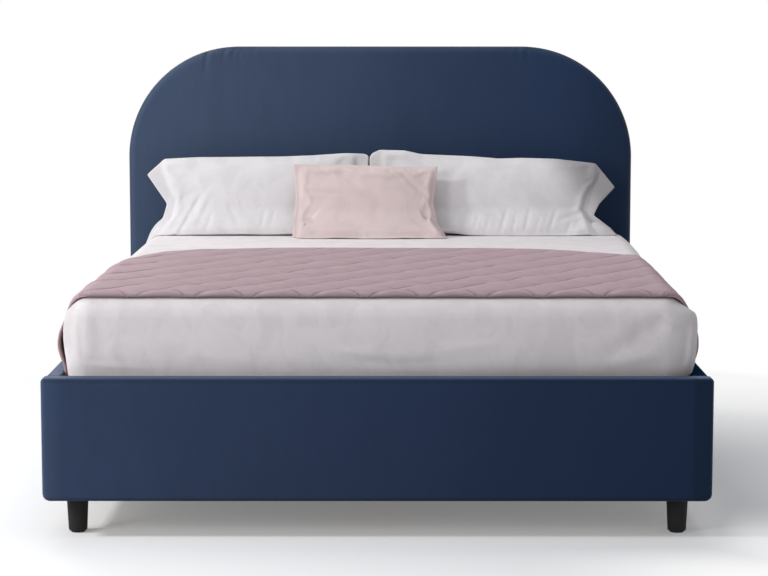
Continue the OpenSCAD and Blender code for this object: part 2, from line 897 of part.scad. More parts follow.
module tube_block(x, y, long_axis) {
    open_x = long_axis == 0 ? 1 : -tube_wall;
    open_y = long_axis == 1 ? 1 : -tube_wall;
    color(steel_black) difference() {
        block(x, y, [frame_z, frame_top]);
        block([x[0] - open_x, x[1] + open_x], [y[0] - open_y, y[1] + open_y],
            [frame_z + tube_wall, frame_top - tube_wall]);
    }
}

module side_tube_left() {
    tube_block([-tube_x - tube_w, -tube_x], [frame_y0, frame_y1], 1);
}

module side_tube_right() {
    tube_block([tube_x, tube_x + tube_w], [frame_y0, frame_y1], 1);
}

module head_tube() {
    tube_block([-tube_x, tube_x], [frame_y1 - tube_w, frame_y1], 0);
}

module foot_tube() {
    tube_block([-tube_x, tube_x], [frame_y0, frame_y0 + tube_w], 0);
}

module centre_tube() {
    tube_block([-centre_tube_w / 2, centre_tube_w / 2], [frame_y0 + tube_w, frame_y1 - tube_w], 1);
}

// Bowed slats and their holders
slat_x0 = 4;
slat_end_set = 8;
slat_x1 = tube_x + tube_w - slat_end_set;
slat_z = frame_top + holder_base;
slat_steps = 12;
slat_end_gap = 50;
slat_pitch = (frame_y1 - frame_y0 - 2 * slat_end_gap - slat_w) / (slat_n - 1);

function slat_y(i) = frame_y0 + slat_end_gap + slat_w / 2 + i * slat_pitch;
function bow(u) = slat_bow * (1 - pow(2 * u - 1, 2));

module slat_row() {
    color(birch)
        for (i = [0 : slat_n - 1])
            along_y(slat_y(i) - slat_w / 2, slat_y(i) + slat_w / 2)
                polygon([
                    for (k = [0 : slat_steps])
                        [slat_x0 + (slat_x1 - slat_x0) * k / slat_steps, slat_z + bow(k / slat_steps)],
                    for (k = [slat_steps : -1 : 0])
                        [slat_x0 + (slat_x1 - slat_x0) * k / slat_steps,
                            slat_z + slat_t + bow(k / slat_steps)]]);
}

module slats_left() {
    left_of() slat_row();
}

module slats_right() {
    slat_row();
}

holder_h = holder_base + slat_t + 4;
holder_lip = 3;
holder_end = 6;
slat_rise = 1.6;

module side_holder() {
    difference() {
        block([slat_x1 - slat_grip, slat_x1 + holder_end],
            [-slat_w / 2 - holder_lip, slat_w / 2 + holder_lip], [frame_top, frame_top + holder_h]);
        block([slat_x1 - slat_grip - 1, slat_x1 + slip], [-slat_w / 2 - slip, slat_w / 2 + slip],
            [slat_z, slat_z + slat_t + slat_rise]);
    }
}

module centre_holder() {
    reach = slat_x0 + slat_grip;
    difference() {
        block([-reach, reach], [-slat_w / 2 - holder_lip, slat_w / 2 + holder_lip],
            [frame_top, frame_top + holder_h]);
        for (side = [0, 1]) mirror([side, 0, 0])
            block([slat_x0 - slip, reach + 1], [-slat_w / 2 - slip, slat_w / 2 + slip],
                [slat_z, slat_z + slat_t + slat_rise]);
    }
}

module slat_holders() {
    color(plastic_black)
        for (i = [0 : slat_n - 1]) translate([0, slat_y(i), 0]) {
            side_holder();
            left_of() side_holder();
            centre_holder();
        }
}

// Where the closed platform rests, and the strap that lifts it
module rest_batten() {
    color(board_tan)
        for (side = [0, 1]) mirror([side, 0, 0])
            block([strap_bay / 2, rail_in_x - bracket_leg - rest_inset], [rail_in_y, rail_in_y + rest_t],
                [rest_z0, frame_z - slip - pad_t]);
}

module rest_pads() {
    color(cloth_black)
        for (x = rest_pad_places)
            translate([x * rail_in_x, rail_in_y + rest_t - pad_r - 1, frame_z - slip - pad_t])
                cylinder(h = pad_t, r = pad_r);
}

module pull_strap() {
    color(cloth_black) across_x(-strap_w / 2, strap_w / 2) difference() {
        translate([frame_y0 - 3 * strap_t, frame_top - strap_drop]) square([3 * strap_t, strap_drop]);
        translate([frame_y0 - 2 * strap_t, frame_top - strap_drop + strap_t])
            square([strap_t, strap_drop - 4 * strap_t]);
    }
}

// Solid between two skins of grid points: upper[i][j] lies over lower[i][j]
module two_skins(upper, lower) {
    nx = len(upper);
    ny = len(upper[0]);
    low = nx * ny;
    points = [for (skin = [upper, lower], row = skin, p = row) p];
    skins = [for (i = [0 : nx - 2], j = [0 : ny - 2])
        let (a = i * ny + j, b = a + 1, c = a + ny, d = c + 1)
            each [[a, b, d], [a, d, c], [low + a, low + d, low + b], [low + a, low + c, low + d]]];
    ends = [for (i = [0 : nx - 2])
        let (a = i * ny, c = a + ny, e = a + ny - 1, g = e + ny)
            each [[a, c, low + c], [a, low + c, low + a], [e, low + g, g], [e, low + e, low + g]]];
    flanks = [for (j = [0 : ny - 2])
        let (a = j, b = j + 1, c = (nx - 1) * ny + j, d = c + 1)
            each [[a, low + b, b], [a, low + a, low + b], [c, d, low + d], [c, low + d, low + c]]];
    polyhedron(points, concat(skins, ends, flanks), convexity = 6);
}

// Mattress and sheet
mattress_low_r = 20;
sheet_hem = 4;

module rounded_block(grow) {
    x = mattress_w / 2 - sheet_t + grow;
    y = [mattress_y0 + sheet_t - grow, mattress_y1 - sheet_t + grow];
    top = mattress_z1 - sheet_t + grow;
    edge = mattress_edge_r - sheet_t + grow;
    corner = mattress_corner_r - sheet_t + grow;
    intersection() {
        along_y(y[0], y[1]) rounded_rect([-x, x], [mattress_z0, top], mattress_low_r, edge);
        across_x(-x, x) rounded_rect(y, [mattress_z0, top], mattress_low_r, edge);
        translate([0, 0, mattress_z0]) linear_extrude(top - mattress_z0)
            rounded_rect([-x, x], y, corner, corner);
    }
}

module mattress() {
    color(linen_white) rounded_block(0);
}

module sheet() {
    color(linen_white) difference() {
        rounded_block(sheet_t);
        rounded_block(0);
        block([-rail_in_x, rail_in_x], [mattress_y0 - 1, mattress_y1 + 1],
            [mattress_z0 - 1, mattress_z0 + mattress_low_r + sheet_hem]);
    }
}

// Quilt: over the top, down both sides and tucked in beside the rails
quilt_off = 0.9;
quilt_lay = 0.2;
quilt_y0 = mattress_y0 + quilt_set;
quilt_low = base_top - 18;
quilt_tuck = base_top + 4;
quilt_drops = 8;
arc_x = mattress_w / 2 - mattress_edge_r;
arc_z = mattress_z1 - mattress_edge_r;
arc_y = mattress_y0 + mattress_edge_r;

// Point on one side of the quilt's cross-section, from the middle (0) to the hem (3)
function quilt_arc(off, a) =
    [arc_x + (mattress_edge_r + off) * sin(a), arc_z + (mattress_edge_r + off) * cos(a)];
function quilt_drop(off, swell, v) =
    [mattress_w / 2 + off + swell * pow(sin(180 * v), 2), quilt_tuck + (arc_z - quilt_tuck) * v];
function quilt_half(off, swell) = concat(
    [for (u = [0.15, 0.5, 0.8]) [arc_x * u, mattress_z1 + off]],
    [for (a = [0 : 15 : 90]) quilt_arc(off, a)],
    [for (k = [quilt_drops - 1 : -1 : 0]) quilt_drop(off, swell, k / quilt_drops)],
    [[mattress_w / 2 + off, quilt_low]]);
function front_top(off, y) = y >= arc_y ? mattress_z1 + off :
    arc_z + sqrt(pow(mattress_edge_r + off, 2) - pow(arc_y - y, 2));
function quilt_section(off) =
    let (left = quilt_half(off, quilt_swell_left), right = quilt_half(off, quilt_swell_right))
        concat([for (k = [len(left) - 1 : -1 : 0]) [-left[k][0], left[k][1]]], right);
function quilt_skin(off, extra) = [for (p = quilt_section(off)) [for (y = quilt_rows)
    let (z = p[1] > arc_z ? min(p[1], front_top(off, y)) : p[1])
        [p[0], y, z + extra * max(0, (z - arc_z) / (mattress_edge_r + off))]]];
front_rows = 4;
quilt_rows = [for (k = [0 : front_rows]) quilt_y0 + (arc_y - quilt_y0) * k / front_rows,
    for (u = [0.35, 0.7, 1]) quilt_y0 + quilt_l * u];

module quilt() {
    color(quilt_mauve) difference() {
        two_skins(quilt_skin(quilt_off + quilt_t, quilt_top_t - quilt_t),
            quilt_skin(quilt_off, 0));
        rounded_block(sheet_t + quilt_lay);
    }
}

// Pillows and the small cushion: crowned, with sides drawn in between the corners
function swell(s) = pow(max(0, 1 - pow(abs(s), 2.6)), 0.6);
function drawn(s, q, half, draw) = s * (half - draw * (1 - q * q) * abs(s));

function soft_skin(w, h, t, flange, draw, side) = [for (i = [0 : soft_nx])
    let (s = soft_step(i, soft_nx)) [for (j = [0 : soft_ny])
        let (q = soft_step(j, soft_ny), s1 = max(-1, min(1, s)), q1 = max(-1, min(1, q)))
            [drawn(s1, q1, w / 2 - flange, draw) + hem_out(s, flange),
                h / 2 + drawn(q1, s1, h / 2 - flange, draw * 0.35) + hem_out(q, flange),
                side * (hem_t / 2 + t / 2 * swell(s1) * swell(q1))]]];
function hem_out(s, flange) = sign(s) * flange * max(0, abs(s) - 1) / soft_out;
hem_t = 3;
soft_out = 0.2;
soft_nx = 22;
soft_ny = 14;

// Even steps over the body, with one step past each end for the flange
function soft_step(i, n) = i == 0 ? -1 - soft_out : i == n ? 1 + soft_out :
    let (u = -1 + 2 * (i - 1) / (n - 2)) sin(90 * u);

module soft_form(w, h, t, flange, draw) {
    two_skins(soft_skin(w, h, t, flange, draw, 1), soft_skin(w, h, t, flange, draw, -1));
}

soft_floor = mattress_z1 + quilt_off;
pillow_lean = 7;
pillow_sink = 18;
pillow_y = head_y - 128;
pillow_left_x = -pillow_w / 2 - 40;
pillow_right_x = pillow_right_w / 2 - 36;
cushion_lean = 13;
cushion_sink = 6;
cushion_y = pillow_y - 118;
cushion_x = -42;
cushion_seam = 6;
cushion_draw = 22;

module standing(x, y, lean, sink) {
    difference() {
        translate([x, y, soft_floor - sink]) rotate([90 - lean, 0, 0]) children();
        block([x - pillow_w, x + pillow_w], [y - pillow_w / 2, y + pillow_w / 2],
            [soft_floor - pillow_h, soft_floor]);
    }
}

module pillow(x, w) {
    color(linen_white) standing(x, pillow_y, pillow_lean, pillow_sink)
        soft_form(w, pillow_h, pillow_t, pillow_flange, pillow_draw);
}

module pillow_left() {
    pillow(pillow_left_x, pillow_w);
}

module pillow_right() {
    pillow(pillow_right_x, pillow_right_w);
}

module cushion() {
    color(cushion_pink) standing(cushion_x, cushion_y, cushion_lean, cushion_sink)
        soft_form(cushion_w, cushion_h, cushion_t, cushion_seam, cushion_draw);
}

headboard_board();
headboard_battens();
headboard_padding();
headboard_back_cloth();
foot_rail_board();
foot_rail_cover();
left_rail_board();
left_rail_cover();
right_rail_board();
right_rail_cover();
bracket_foot_left();
bracket_foot_right();
bracket_head_left();
bracket_head_right();
frame_bolts();
foot_front_left();
foot_front_right();
foot_rear_left();
foot_rear_right();
foot_centre();
foot_glides();
corner_blocks();
centre_bearer();
floor_ledges();
floor_panel_left();
floor_panel_right();
floor_joint_strip();
lift_plate_left();
lift_plate_right();
rest_batten();
rest_pads();
fixed_pivot_pins();
rear_arm_left();
rear_arm_right();
front_arm_left();
front_arm_right();
spring_studs();
gas_cylinder_left();
gas_cylinder_right();
gas_rod_left();
gas_rod_right();
lift_bracket_left();
lift_bracket_right();
lift_pivot_studs();
side_tube_left();
side_tube_right();
head_tube();
foot_tube();
centre_tube();
slats_left();
slats_right();
slat_holders();
pull_strap();
mattress();
sheet();
quilt();
pillow_left();
pillow_right();
cushion();
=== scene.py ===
"""Upholstered storage bed: covers, bedding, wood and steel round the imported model."""

import math
from functools import cached_property, partialmethod

import bpy
import bmesh
import numpy as np
from mathutils import Matrix, Vector, noise


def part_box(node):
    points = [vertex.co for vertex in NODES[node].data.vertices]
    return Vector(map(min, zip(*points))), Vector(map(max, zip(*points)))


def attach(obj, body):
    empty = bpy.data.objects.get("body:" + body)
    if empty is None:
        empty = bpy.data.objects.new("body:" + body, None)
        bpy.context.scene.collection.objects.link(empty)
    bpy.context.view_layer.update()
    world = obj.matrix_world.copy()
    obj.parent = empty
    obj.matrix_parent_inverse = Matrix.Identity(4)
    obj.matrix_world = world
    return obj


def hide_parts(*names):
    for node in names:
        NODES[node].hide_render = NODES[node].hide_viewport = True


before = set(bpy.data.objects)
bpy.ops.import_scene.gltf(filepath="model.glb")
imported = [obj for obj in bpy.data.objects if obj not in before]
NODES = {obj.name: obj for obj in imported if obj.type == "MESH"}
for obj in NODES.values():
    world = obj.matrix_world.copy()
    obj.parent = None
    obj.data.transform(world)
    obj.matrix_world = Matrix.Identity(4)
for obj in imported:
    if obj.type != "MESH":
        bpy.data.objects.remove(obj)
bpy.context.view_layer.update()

bl_info = {
    "name": "Storage bed",
    "version": (1, 0, 0),
    "blender": (4, 5, 0),
    "location": "3D View > Sidebar > Storage bed",
    "description": "Covers, bedding and finishes of an upholstered storage bed",
    "category": "Object",
}

# Corners of the pieces that the soft parts are built round
RAIL_LO, RAIL_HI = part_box("foot_rail_cover")
SIDE_LO, SIDE_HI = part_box("right_rail_cover")
HEAD_LO, HEAD_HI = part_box("headboard_padding")
BOARD_LO, BOARD_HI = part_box("headboard_board")
FOOT_BOARD_LO, FOOT_BOARD_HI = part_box("foot_rail_board")
SIDE_BOARD_LO, SIDE_BOARD_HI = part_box("right_rail_board")
BED_LO, BED_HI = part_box("mattress")
SHEET_LO, SHEET_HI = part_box("sheet")
QUILT_LO, QUILT_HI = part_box("quilt")

BASE_TOP = RAIL_HI.z
TOP_Z = SHEET_HI.z
MATTRESS_EDGE = 0.055

# Smallest length that counts, and the distance within which points of a mesh are joined
TINY = 1e-9
WELD = 1e-5


def length_setting(name, description, default):
    return bpy.props.FloatProperty(
        name=name, description=description, default=default, unit="LENGTH")


def colour_setting(name, description, default):
    return bpy.props.FloatVectorProperty(
        name=name, description=description, default=default,
        size=3, subtype="COLOR", min=0, max=1)


class BedSizes(bpy.types.PropertyGroup):
    """Sizes that the model leaves to the covers and the bedding"""

    head_round: length_setting(
        "Headboard corner", "Radius of the headboard's upper corners", 0.375)
    head_edge: length_setting(
        "Headboard edge", "Radius of the headboard's padded front edge", 0.022)
    rail_edge: length_setting(
        "Rail edge", "Radius of the padded edges of the foot rail", 0.011)
    side_edge: length_setting(
        "Side rail edge", "Radius of the padded edges of the side rails", 0.006)
    rail_corner: length_setting(
        "Foot rail's lower corner", "Radius of the foot rail's lower corners", 0.02)
    rail_shoulder: length_setting(
        "Foot rail's upper corner", "Radius of the foot rail's upper corners", 0.006)
    mattress_edge: length_setting(
        "Mattress edge", "Radius of the mattress's upper edges", MATTRESS_EDGE)
    mattress_corner: length_setting(
        "Mattress corner", "Radius of the mattress's upright corners", 0.06)
    quilt_swell_left: length_setting(
        "Quilt swell, left", "How far the quilt swells out at the left side", 0.017)
    quilt_swell_right: length_setting(
        "Quilt swell, right", "How far the quilt swells out at the right side", 0.02)
    quilt_diamond: length_setting(
        "Quilt diamond", "Distance across one stitched diamond of the quilt", 0.15)
    quilt_puff: length_setting(
        "Quilt puff", "Depth of the stitched lines under the puffs between them", 0.009)


class BedColours(bpy.types.PropertyGroup):
    """Colours of the bed's cloths and wood, and of the floor under it"""

    velvet: colour_setting(
        "Velvet", "Cover of the headboard and the rails", (0.031, 0.049, 0.094))
    linen: colour_setting("Bed linen", "Pillow cases", (0.74, 0.722, 0.73))
    sheet: colour_setting(
        "Fitted sheet", "Sheet over the mattress, and binding of the quilt", (0.79, 0.745, 0.752))
    quilt: colour_setting("Quilt", "Upper side of the quilt", (0.4, 0.295, 0.318))
    lining: colour_setting("Quilt lining", "Underside of the quilt", (0.52, 0.36, 0.36))
    cushion: colour_setting("Cushion", "Case of the small cushion", (0.69, 0.57, 0.56))
    ticking: colour_setting(
        "Ticking", "Cover of the mattress under its sheet", (0.62, 0.61, 0.6))
    softwood: colour_setting(
        "Softwood", "Boards and battens under the covers", (0.52, 0.36, 0.2))
    birch: colour_setting("Birch", "Bowed slats", (0.66, 0.5, 0.32))
    panel: colour_setting(
        "Floor panels", "Coated panels of the storage floor", (0.55, 0.54, 0.52))
    floor: colour_setting(
        "Studio floor", "Floor that the bed stands on", (0.8, 0.795, 0.8))


# Materials


class Value:
    """One socket of a finish. Python's operators on it add Math nodes."""

    def __init__(self, finish, socket):
        self.finish = finish
        self.socket = socket

    def _math(self, operation, *others):
        return self.finish.math(operation, self, *others)

    __add__ = __radd__ = partialmethod(_math, "ADD")
    __mul__ = __rmul__ = partialmethod(_math, "MULTIPLY")
    __sub__ = partialmethod(_math, "SUBTRACT")
    __pow__ = partialmethod(_math, "POWER")
    most = partialmethod(_math, "MAXIMUM")
    size = partialmethod(_math, "ABSOLUTE")
    sine = partialmethod(_math, "SINE")

    def __rsub__(self, other):
        return self.finish.math("SUBTRACT", other, self)

    def steps(self, low, high):
        """0 below low, 1 above high, and smooth between them."""
        return self.finish.node(
            "ShaderNodeMapRange", {"Value": self, "From Min": low, "From Max": high},
            interpolation_type="SMOOTHSTEP")

    def fades(self, low, high):
        """1 below low, 0 above high, and smooth between them."""
        return 1 - self.steps(low, high)


class Finish:
    """The nodes of a material or the world, on a piece's own metres."""

    def __init__(self, name, owner=None):
        self.material = owner or bpy.data.materials.new(name)
        self.material.use_nodes = True
        self.tree = self.material.node_tree
        self.tree.nodes.clear()

    @cached_property
    def place(self):
        return self.node("ShaderNodeTexCoord", output="Object")

    def node(self, kind, sockets=None, output=0, **settings):
        node = self.tree.nodes.new(kind)
        for key, value in settings.items():
            setattr(node, key, value)
        for key, value in (sockets or {}).items():
            if isinstance(value, Value):
                self.tree.links.new(value.socket, node.inputs[key])
            else:
                node.inputs[key].default_value = value
        return Value(self, node.outputs[output]) if len(node.outputs) else None

    def math(self, operation, *values):
        return self.node("ShaderNodeMath", dict(enumerate(values)), operation=operation)

    def stretched(self, scale, turn=(0, 0, 0)):
        return self.node(
            "ShaderNodeMapping", {"Vector": self.place, "Scale": scale, "Rotation": turn})

    def noise(self, scale, detail=2.0, place=None, rough=0.5, twist=0.0):
        return self.node("ShaderNodeTexNoise", {
            "Vector": place or self.place, "Scale": scale, "Detail": detail,
            "Roughness": rough, "Distortion": twist})

    def axes(self):
        split = self.tree.nodes.new("ShaderNodeSeparateXYZ")
        self.tree.links.new(self.place.socket, split.inputs[0])
        return [Value(self, out) for out in split.outputs]

    def mixed(self, first, second, mask):
        """First colour where the mask is 0, second where it is 1."""
        def colour(c):
            return c if isinstance(c, Value) else (*c[:3], 1.0)
        return self.node("ShaderNodeMix", {0: mask, 6: colour(first), 7: colour(second)},
                         output=2, data_type="RGBA")

    def varied(self, colour, low, high, mask):
        """A colour's shade low where the mask is 0, and its shade high where it is 1."""
        return self.mixed(shaded(colour, low), shaded(colour, high), mask)

    def dimmed(self, tone, share, mask, dark=(0.0, 0.0, 0.0)):
        """A tone, of which only a share is left in the dark where the mask is 1."""
        return self.mixed(tone, self.mixed(dark, tone, share), mask)

    def bump(self, height, depth, normal=None):
        sockets = {"Height": height, "Distance": depth, "Strength": 1.0}
        if normal:
            sockets["Normal"] = normal
        return self.node("ShaderNodeBump", sockets)

    def seen(self):
        """1 for rays from the camera, off glossy surfaces and through clear ones."""
        path = self.tree.nodes.new("ShaderNodeLightPath")
        camera, glossy, clear = (
            Value(self, path.outputs[f"Is {ray} Ray"])
            for ray in ("Camera", "Glossy", "Transmission"))
        return camera.most(glossy.most(clear))

    def mixed_shader(self, mask, first, second):
        return self.node("ShaderNodeMixShader", {0: mask, 1: first, 2: second})

    def finished(self, **sockets):
        """Sets the surface from socket names with _ for spaces, and gives the material."""
        named = {key.replace("_", " "): value for key, value in sockets.items()}
        for key, value in named.items():
            if isinstance(value, tuple) and len(value) == 3:
                named[key] = (*value, 1.0)
        shader = self.node("ShaderNodeBsdfPrincipled", named)
        self.node("ShaderNodeOutputMaterial", {"Surface": shader})
        return self.material


def shaded(colour, factor):
    return tuple(min(1.0, c * factor) for c in colour)


def scaled(colour, factors):
    return tuple(c * k for c, k in zip(colour, factors))


def thread_heights(finish, pitch):
    """Height of a plain weave with threads along each axis."""
    x, y, z = ((axis * (math.pi / pitch)).sine().size() for axis in finish.axes())
    return x + y + z


def velvet_finish(name, colour, rail=False, sheen=0.18, gloss=0.22):
    """Short pile velvet with random brushed marks. Light is painted on at the left and turns to
    painted shade at the right; the rails get more painted light and shade, and the headboard
    painted shade at its rounded edge and its right end
    """
    f = Finish(name)
    x, y, z = f.axes()
    brushed = f.noise(3.2, 4.0, f.stretched((1.0, 1.0, 0.45), (0, 0.35, 0)), 0.55, 0.6)
    strokes = f.noise(26.0, 3.0, f.stretched((1.0, 1.0, 0.25), (0, 0.5, 0)), 0.6, 0.4)
    marks = brushed.steps(0.36, 0.66) * 0.6 + strokes.steps(0.3, 0.7) * 0.4
    pile = f.noise(1400.0, 1.0)
    lit_side, shaded_side = scaled(colour, LIT_SIDE_FACTORS), scaled(colour, SHADED_SIDE_FACTORS)
    # painted light at the left, turning to painted shade at the right
    tone = f.mixed(lit_side, shaded_side, x.steps(-PAINTED_LIGHT_REACH, PAINTED_LIGHT_REACH))
    tone = f.dimmed(tone, 0.72, (1 - marks) * 0.55)
    if rail:
        tone = rail_light_and_shade(f, tone)
    else:
        # painted shade where the headboard's padded edge rounds back, and more painted shade
        # towards its right end
        tone = f.dimmed(tone, 0.45, (y - HEAD_LO.y).steps(0.003, 0.012))
        tone = f.dimmed(tone, 0.68, x.steps(0.6, 0.82))
    normal = f.bump(thread_heights(f, VELVET_THREAD) * 0.2 + pile, PILE_DEPTH)
    normal = f.bump(strokes, STROKE_DEPTH, normal)
    return f.finished(
        Base_Color=tone, Roughness=0.46 + 0.1 * marks, Normal=normal,
        Sheen_Weight=sheen, Sheen_Roughness=0.35, Sheen_Tint=(0.45, 0.62, 1.0),
        Specular_IOR_Level=gloss, Specular_Tint=(0.45, 0.7, 1.0),
    )


def rail_light_and_shade(f, tone):
    """Painted light where the rails' velvet turns over the top and the left end, dark lines along
    the seams, and painted shade over the right rail and along the bottom edge.
    """
    x, y, z = f.axes()
    under = RAIL_HI.z - z
    lit_faces = under.fades(0.0015, 0.005).most(x.fades(-0.848, -0.795))
    # painted light where the velvet turns over the top and the left end
    tone = f.mixed(tone, f.mixed(tone, RAIL_PAINTED_LIGHT, 0.22), lit_faces)
    for at in RAIL_SEAMS:
        tone = f.dimmed(tone, 0.5, (under - at).size().fades(0.0006, 0.002))
    over = under.fades(0.01, 0.03).most((y - RAIL_HI.y).fades(0.0, 0.02))
    # painted shade over the right rail's top and inner side, and more where its velvet turns
    tone = f.dimmed(tone, 0.42, x.steps(0.795, 0.815) * over, (0.0, 0.004, 0.012))
    tone = f.dimmed(tone, 0.25, x.steps(0.8, 0.84) * lit_faces, (0.004, 0.032, 0.088))
    # painted shade along the bottom edge, where the cover turns under
    return f.dimmed(tone, 0.4, (z - RAIL_LO.z).fades(0.002, 0.012))


# Half the width over which the velvet's painted light turns to painted shade, and the factors on
# its colour at the lit left and at the shaded right
PAINTED_LIGHT_REACH = 1.0
LIT_SIDE_FACTORS = (1.68, 1.52, 1.35)
SHADED_SIDE_FACTORS = (0.43, 0.545, 0.73)

# Pitch of the velvet's threads, and depth of its pile and of its brushed strokes
VELVET_THREAD = 0.0011
PILE_DEPTH = 0.00035
STROKE_DEPTH = 0.0012

# Pitch of the threads of the cotton, the mattress's ticking, the webbing and the panels' print
COTTON_THREAD = 0.0009
TICKING_THREAD = 0.0016
WEBBING_THREAD = 0.003
PANEL_THREAD = 0.0022


def cloth_finish(name, colour, pitch=COTTON_THREAD, crease=0.0016, painted_shade=None):
    """Plain woven cotton with small creases, and painted shade where the given mask has a share
    for it
    """
    f = Finish(name)
    weave = thread_heights(f, pitch)
    slub = f.noise(420.0, 2.0, f.stretched((1.0, 0.12, 0.12)))
    rumple = f.noise(16.0, 3.0, f.stretched((1.0, 1.0, 0.7)), 0.5, 0.8)
    tone = f.varied(colour, 0.9, 1.0, rumple.steps(0.3, 0.62) * 0.7 + slub * 0.3)
    if painted_shade:
        # painted shade
        tone = f.mixed(tone, shaded(colour, 0.45), painted_shade(*f.axes()))
    normal = f.bump(weave * 0.35 + slub, 0.00022)
    normal = f.bump(rumple, crease, normal)
    return f.finished(
        Base_Color=tone, Roughness=0.86 + 0.1 * slub, Normal=normal,
        Sheen_Weight=0.12, Sheen_Roughness=0.5, Sheen_Tint=shaded(colour, 1.15),
        Specular_IOR_Level=0.25,
    )


def pillow_painted_shade(x, y, z):
    """Share of painted shade on the pillows: the right one's upper right end"""
    return (x + (z - 0.82) * 0.8).steps(0.54, 0.7)


def sheet_painted_shade(x, y, z):
    """Share of painted shade on the sheet: its left edge, and low down on the right"""
    edge = x.fades(-0.8, -0.76) * z.steps(0.45, 0.5) * 0.35
    low = z.fades(0.405, 0.445) * x.steps(-0.3, 0.5) * 0.42
    return edge.most(low)


def wood_finish(name, colour, along, rate=1.0, gloss=0.55):
    """Sawn wood with its grain along one axis: 0, 1 or 2"""
    f = Finish(name)
    drawn_out = f.stretched(tuple(0.06 if axis == along else 1.0 for axis in range(3)))
    grain = f.noise(34.0 * rate, 4.0, drawn_out, 0.6, 1.2)
    pores = f.noise(420.0 * rate, 2.0, drawn_out)
    rings = (grain * 26.0).sine() * 0.5 + 0.5
    tone = f.varied(colour, 0.72, 1.12, rings * 0.65 + grain * 0.35)
    tone = f.mixed(tone, shaded(colour, 0.55), pores.steps(0.62, 0.8) * 0.5)
    return f.finished(
        Base_Color=tone, Roughness=gloss + 0.2 * pores,
        Normal=f.bump(rings * 0.4 + pores, 0.0003), Specular_IOR_Level=0.35,
    )


def panel_finish(name, colour):
    """Panel coated with a linen-print melamine"""
    f = Finish(name)
    weave = thread_heights(f, PANEL_THREAD)
    dust = f.noise(7.0, 4.0)
    tone = f.varied(colour, 0.9, 1.06, dust.steps(0.35, 0.7))
    return f.finished(
        Base_Color=tone, Roughness=0.46 + 0.12 * dust, Normal=f.bump(weave, 0.0002),
    )


def steel_finish(name, colour, metal, rough, grain=300.0):
    """Steel, painted or plated, with a fine texture and paler places"""
    f = Finish(name)
    fine = f.noise(grain, 3.0)
    patches = f.noise(22.0, 4.0, None, 0.6)
    tone = f.varied(colour, 0.82, 1.1, patches.steps(0.35, 0.68))
    return f.finished(
        Base_Color=tone, Metallic=metal, Roughness=rough + 0.14 * patches,
        Normal=f.bump(fine, 0.00012), Coat_Weight=0.0 if metal else 0.15, Coat_Roughness=0.4,
    )


def plastic_finish(name, colour, rough):
    """Moulded plastic or rubber with a fine spark texture"""
    f = Finish(name)
    spark = f.noise(900.0, 2.0)
    scuffs = f.noise(40.0, 4.0, f.stretched((1.0, 1.0, 0.3)), 0.65)
    tone = f.varied(colour, 0.85, 1.25, scuffs.steps(0.45, 0.75))
    return f.finished(
        Base_Color=tone, Roughness=rough + 0.15 * scuffs, Normal=f.bump(spark, 0.00008),
        Specular_IOR_Level=0.4,
    )


def floor_finish(name, colour):
    """Pale floor that fades into the white background away from the bed, with white glow painted
    over parts of the bed's shadow beside and under it.
    """
    f = Finish(name)
    diffuse = f.node("ShaderNodeBsdfDiffuse", {"Color": (*colour, 1.0)})
    pale = f.node("ShaderNodeBsdfDiffuse", {"Color": WHITE})
    white = f.node("ShaderNodeEmission", {"Color": WHITE, "Strength": 1.0})
    x, y, z = f.axes()
    beside = (x.size() - HEAD_HI.x).most(0.0)
    before = (y.size() - HEAD_HI.y).most(0.0)
    away = (beside * beside + before * before) ** 0.5
    fade = away.steps(*FLOOR_FADE)
    # white glow painted over the bed's shadow: in front of the bed towards the right, beside its
    # right side further back, at the right front corner, and under the bed
    fade = fade.most(before.steps(0.05, 0.4) * x.steps(0.3, 0.9) * 0.85)
    fade = fade.most(y.steps(-0.1, 1.5) * x.steps(0.86, 1.05) * 0.8)
    fade = fade.most(y.fades(-1.15, -0.6) * x.steps(0.8, 1.0) * 0.5)
    fade = fade.most(away.fades(0.0, 0.15) * UNDER_BED_GLOW)
    lit = f.mixed_shader(fade, pale, white)
    surface = f.mixed_shader(f.seen(), diffuse, lit)
    f.node("ShaderNodeOutputMaterial", {"Surface": surface})
    return f.material


def pair(*names):
    """Names of the left and the right node of each."""
    return [f"{name}_{side}" for name in names for side in ("left", "right")]


def dress(finish, *names):
    """Gives CAD nodes a finish."""
    for name in names:
        node = NODES[name]
        if not node.material_slots:
            node.data.materials.append(finish)
        for place in node.material_slots:
            place.material = finish


# Meshes


def grid_faces(rows, columns, first=0, flip=False):
    """Quads over a grid of points that is stored row by row."""
    i, j = np.meshgrid(np.arange(rows - 1), np.arange(columns - 1), indexing="ij")
    a = (first + i * columns + j).ravel()
    quad = np.stack([a, a + 1, a + columns + 1, a + columns], 1)
    return quad[:, ::-1] if flip else quad


def border(rows, columns):
    """Places of the points round a grid's edge, from its first point back to it."""
    return np.concatenate([
        np.arange(columns), np.arange(1, rows) * columns + columns - 1,
        (rows - 1) * columns + np.arange(columns - 2, -1, -1),
        np.arange(rows - 2, -1, -1) * columns,
    ])


def shell_faces(rows, columns):
    """Faces of two like grids that lie back to back, and of the strip that joins their edges."""
    count = rows * columns
    edge = border(rows, columns)
    a, b = edge[:-1], edge[1:]
    return np.concatenate([
        grid_faces(rows, columns), grid_faces(rows, columns, count, flip=True),
        np.stack([b, a, a + count, b + count], 1),
    ])


def placed(name, data):
    """A new object in the scene."""
    made = bpy.data.objects.new(name, data)
    bpy.context.scene.collection.objects.link(made)
    return made


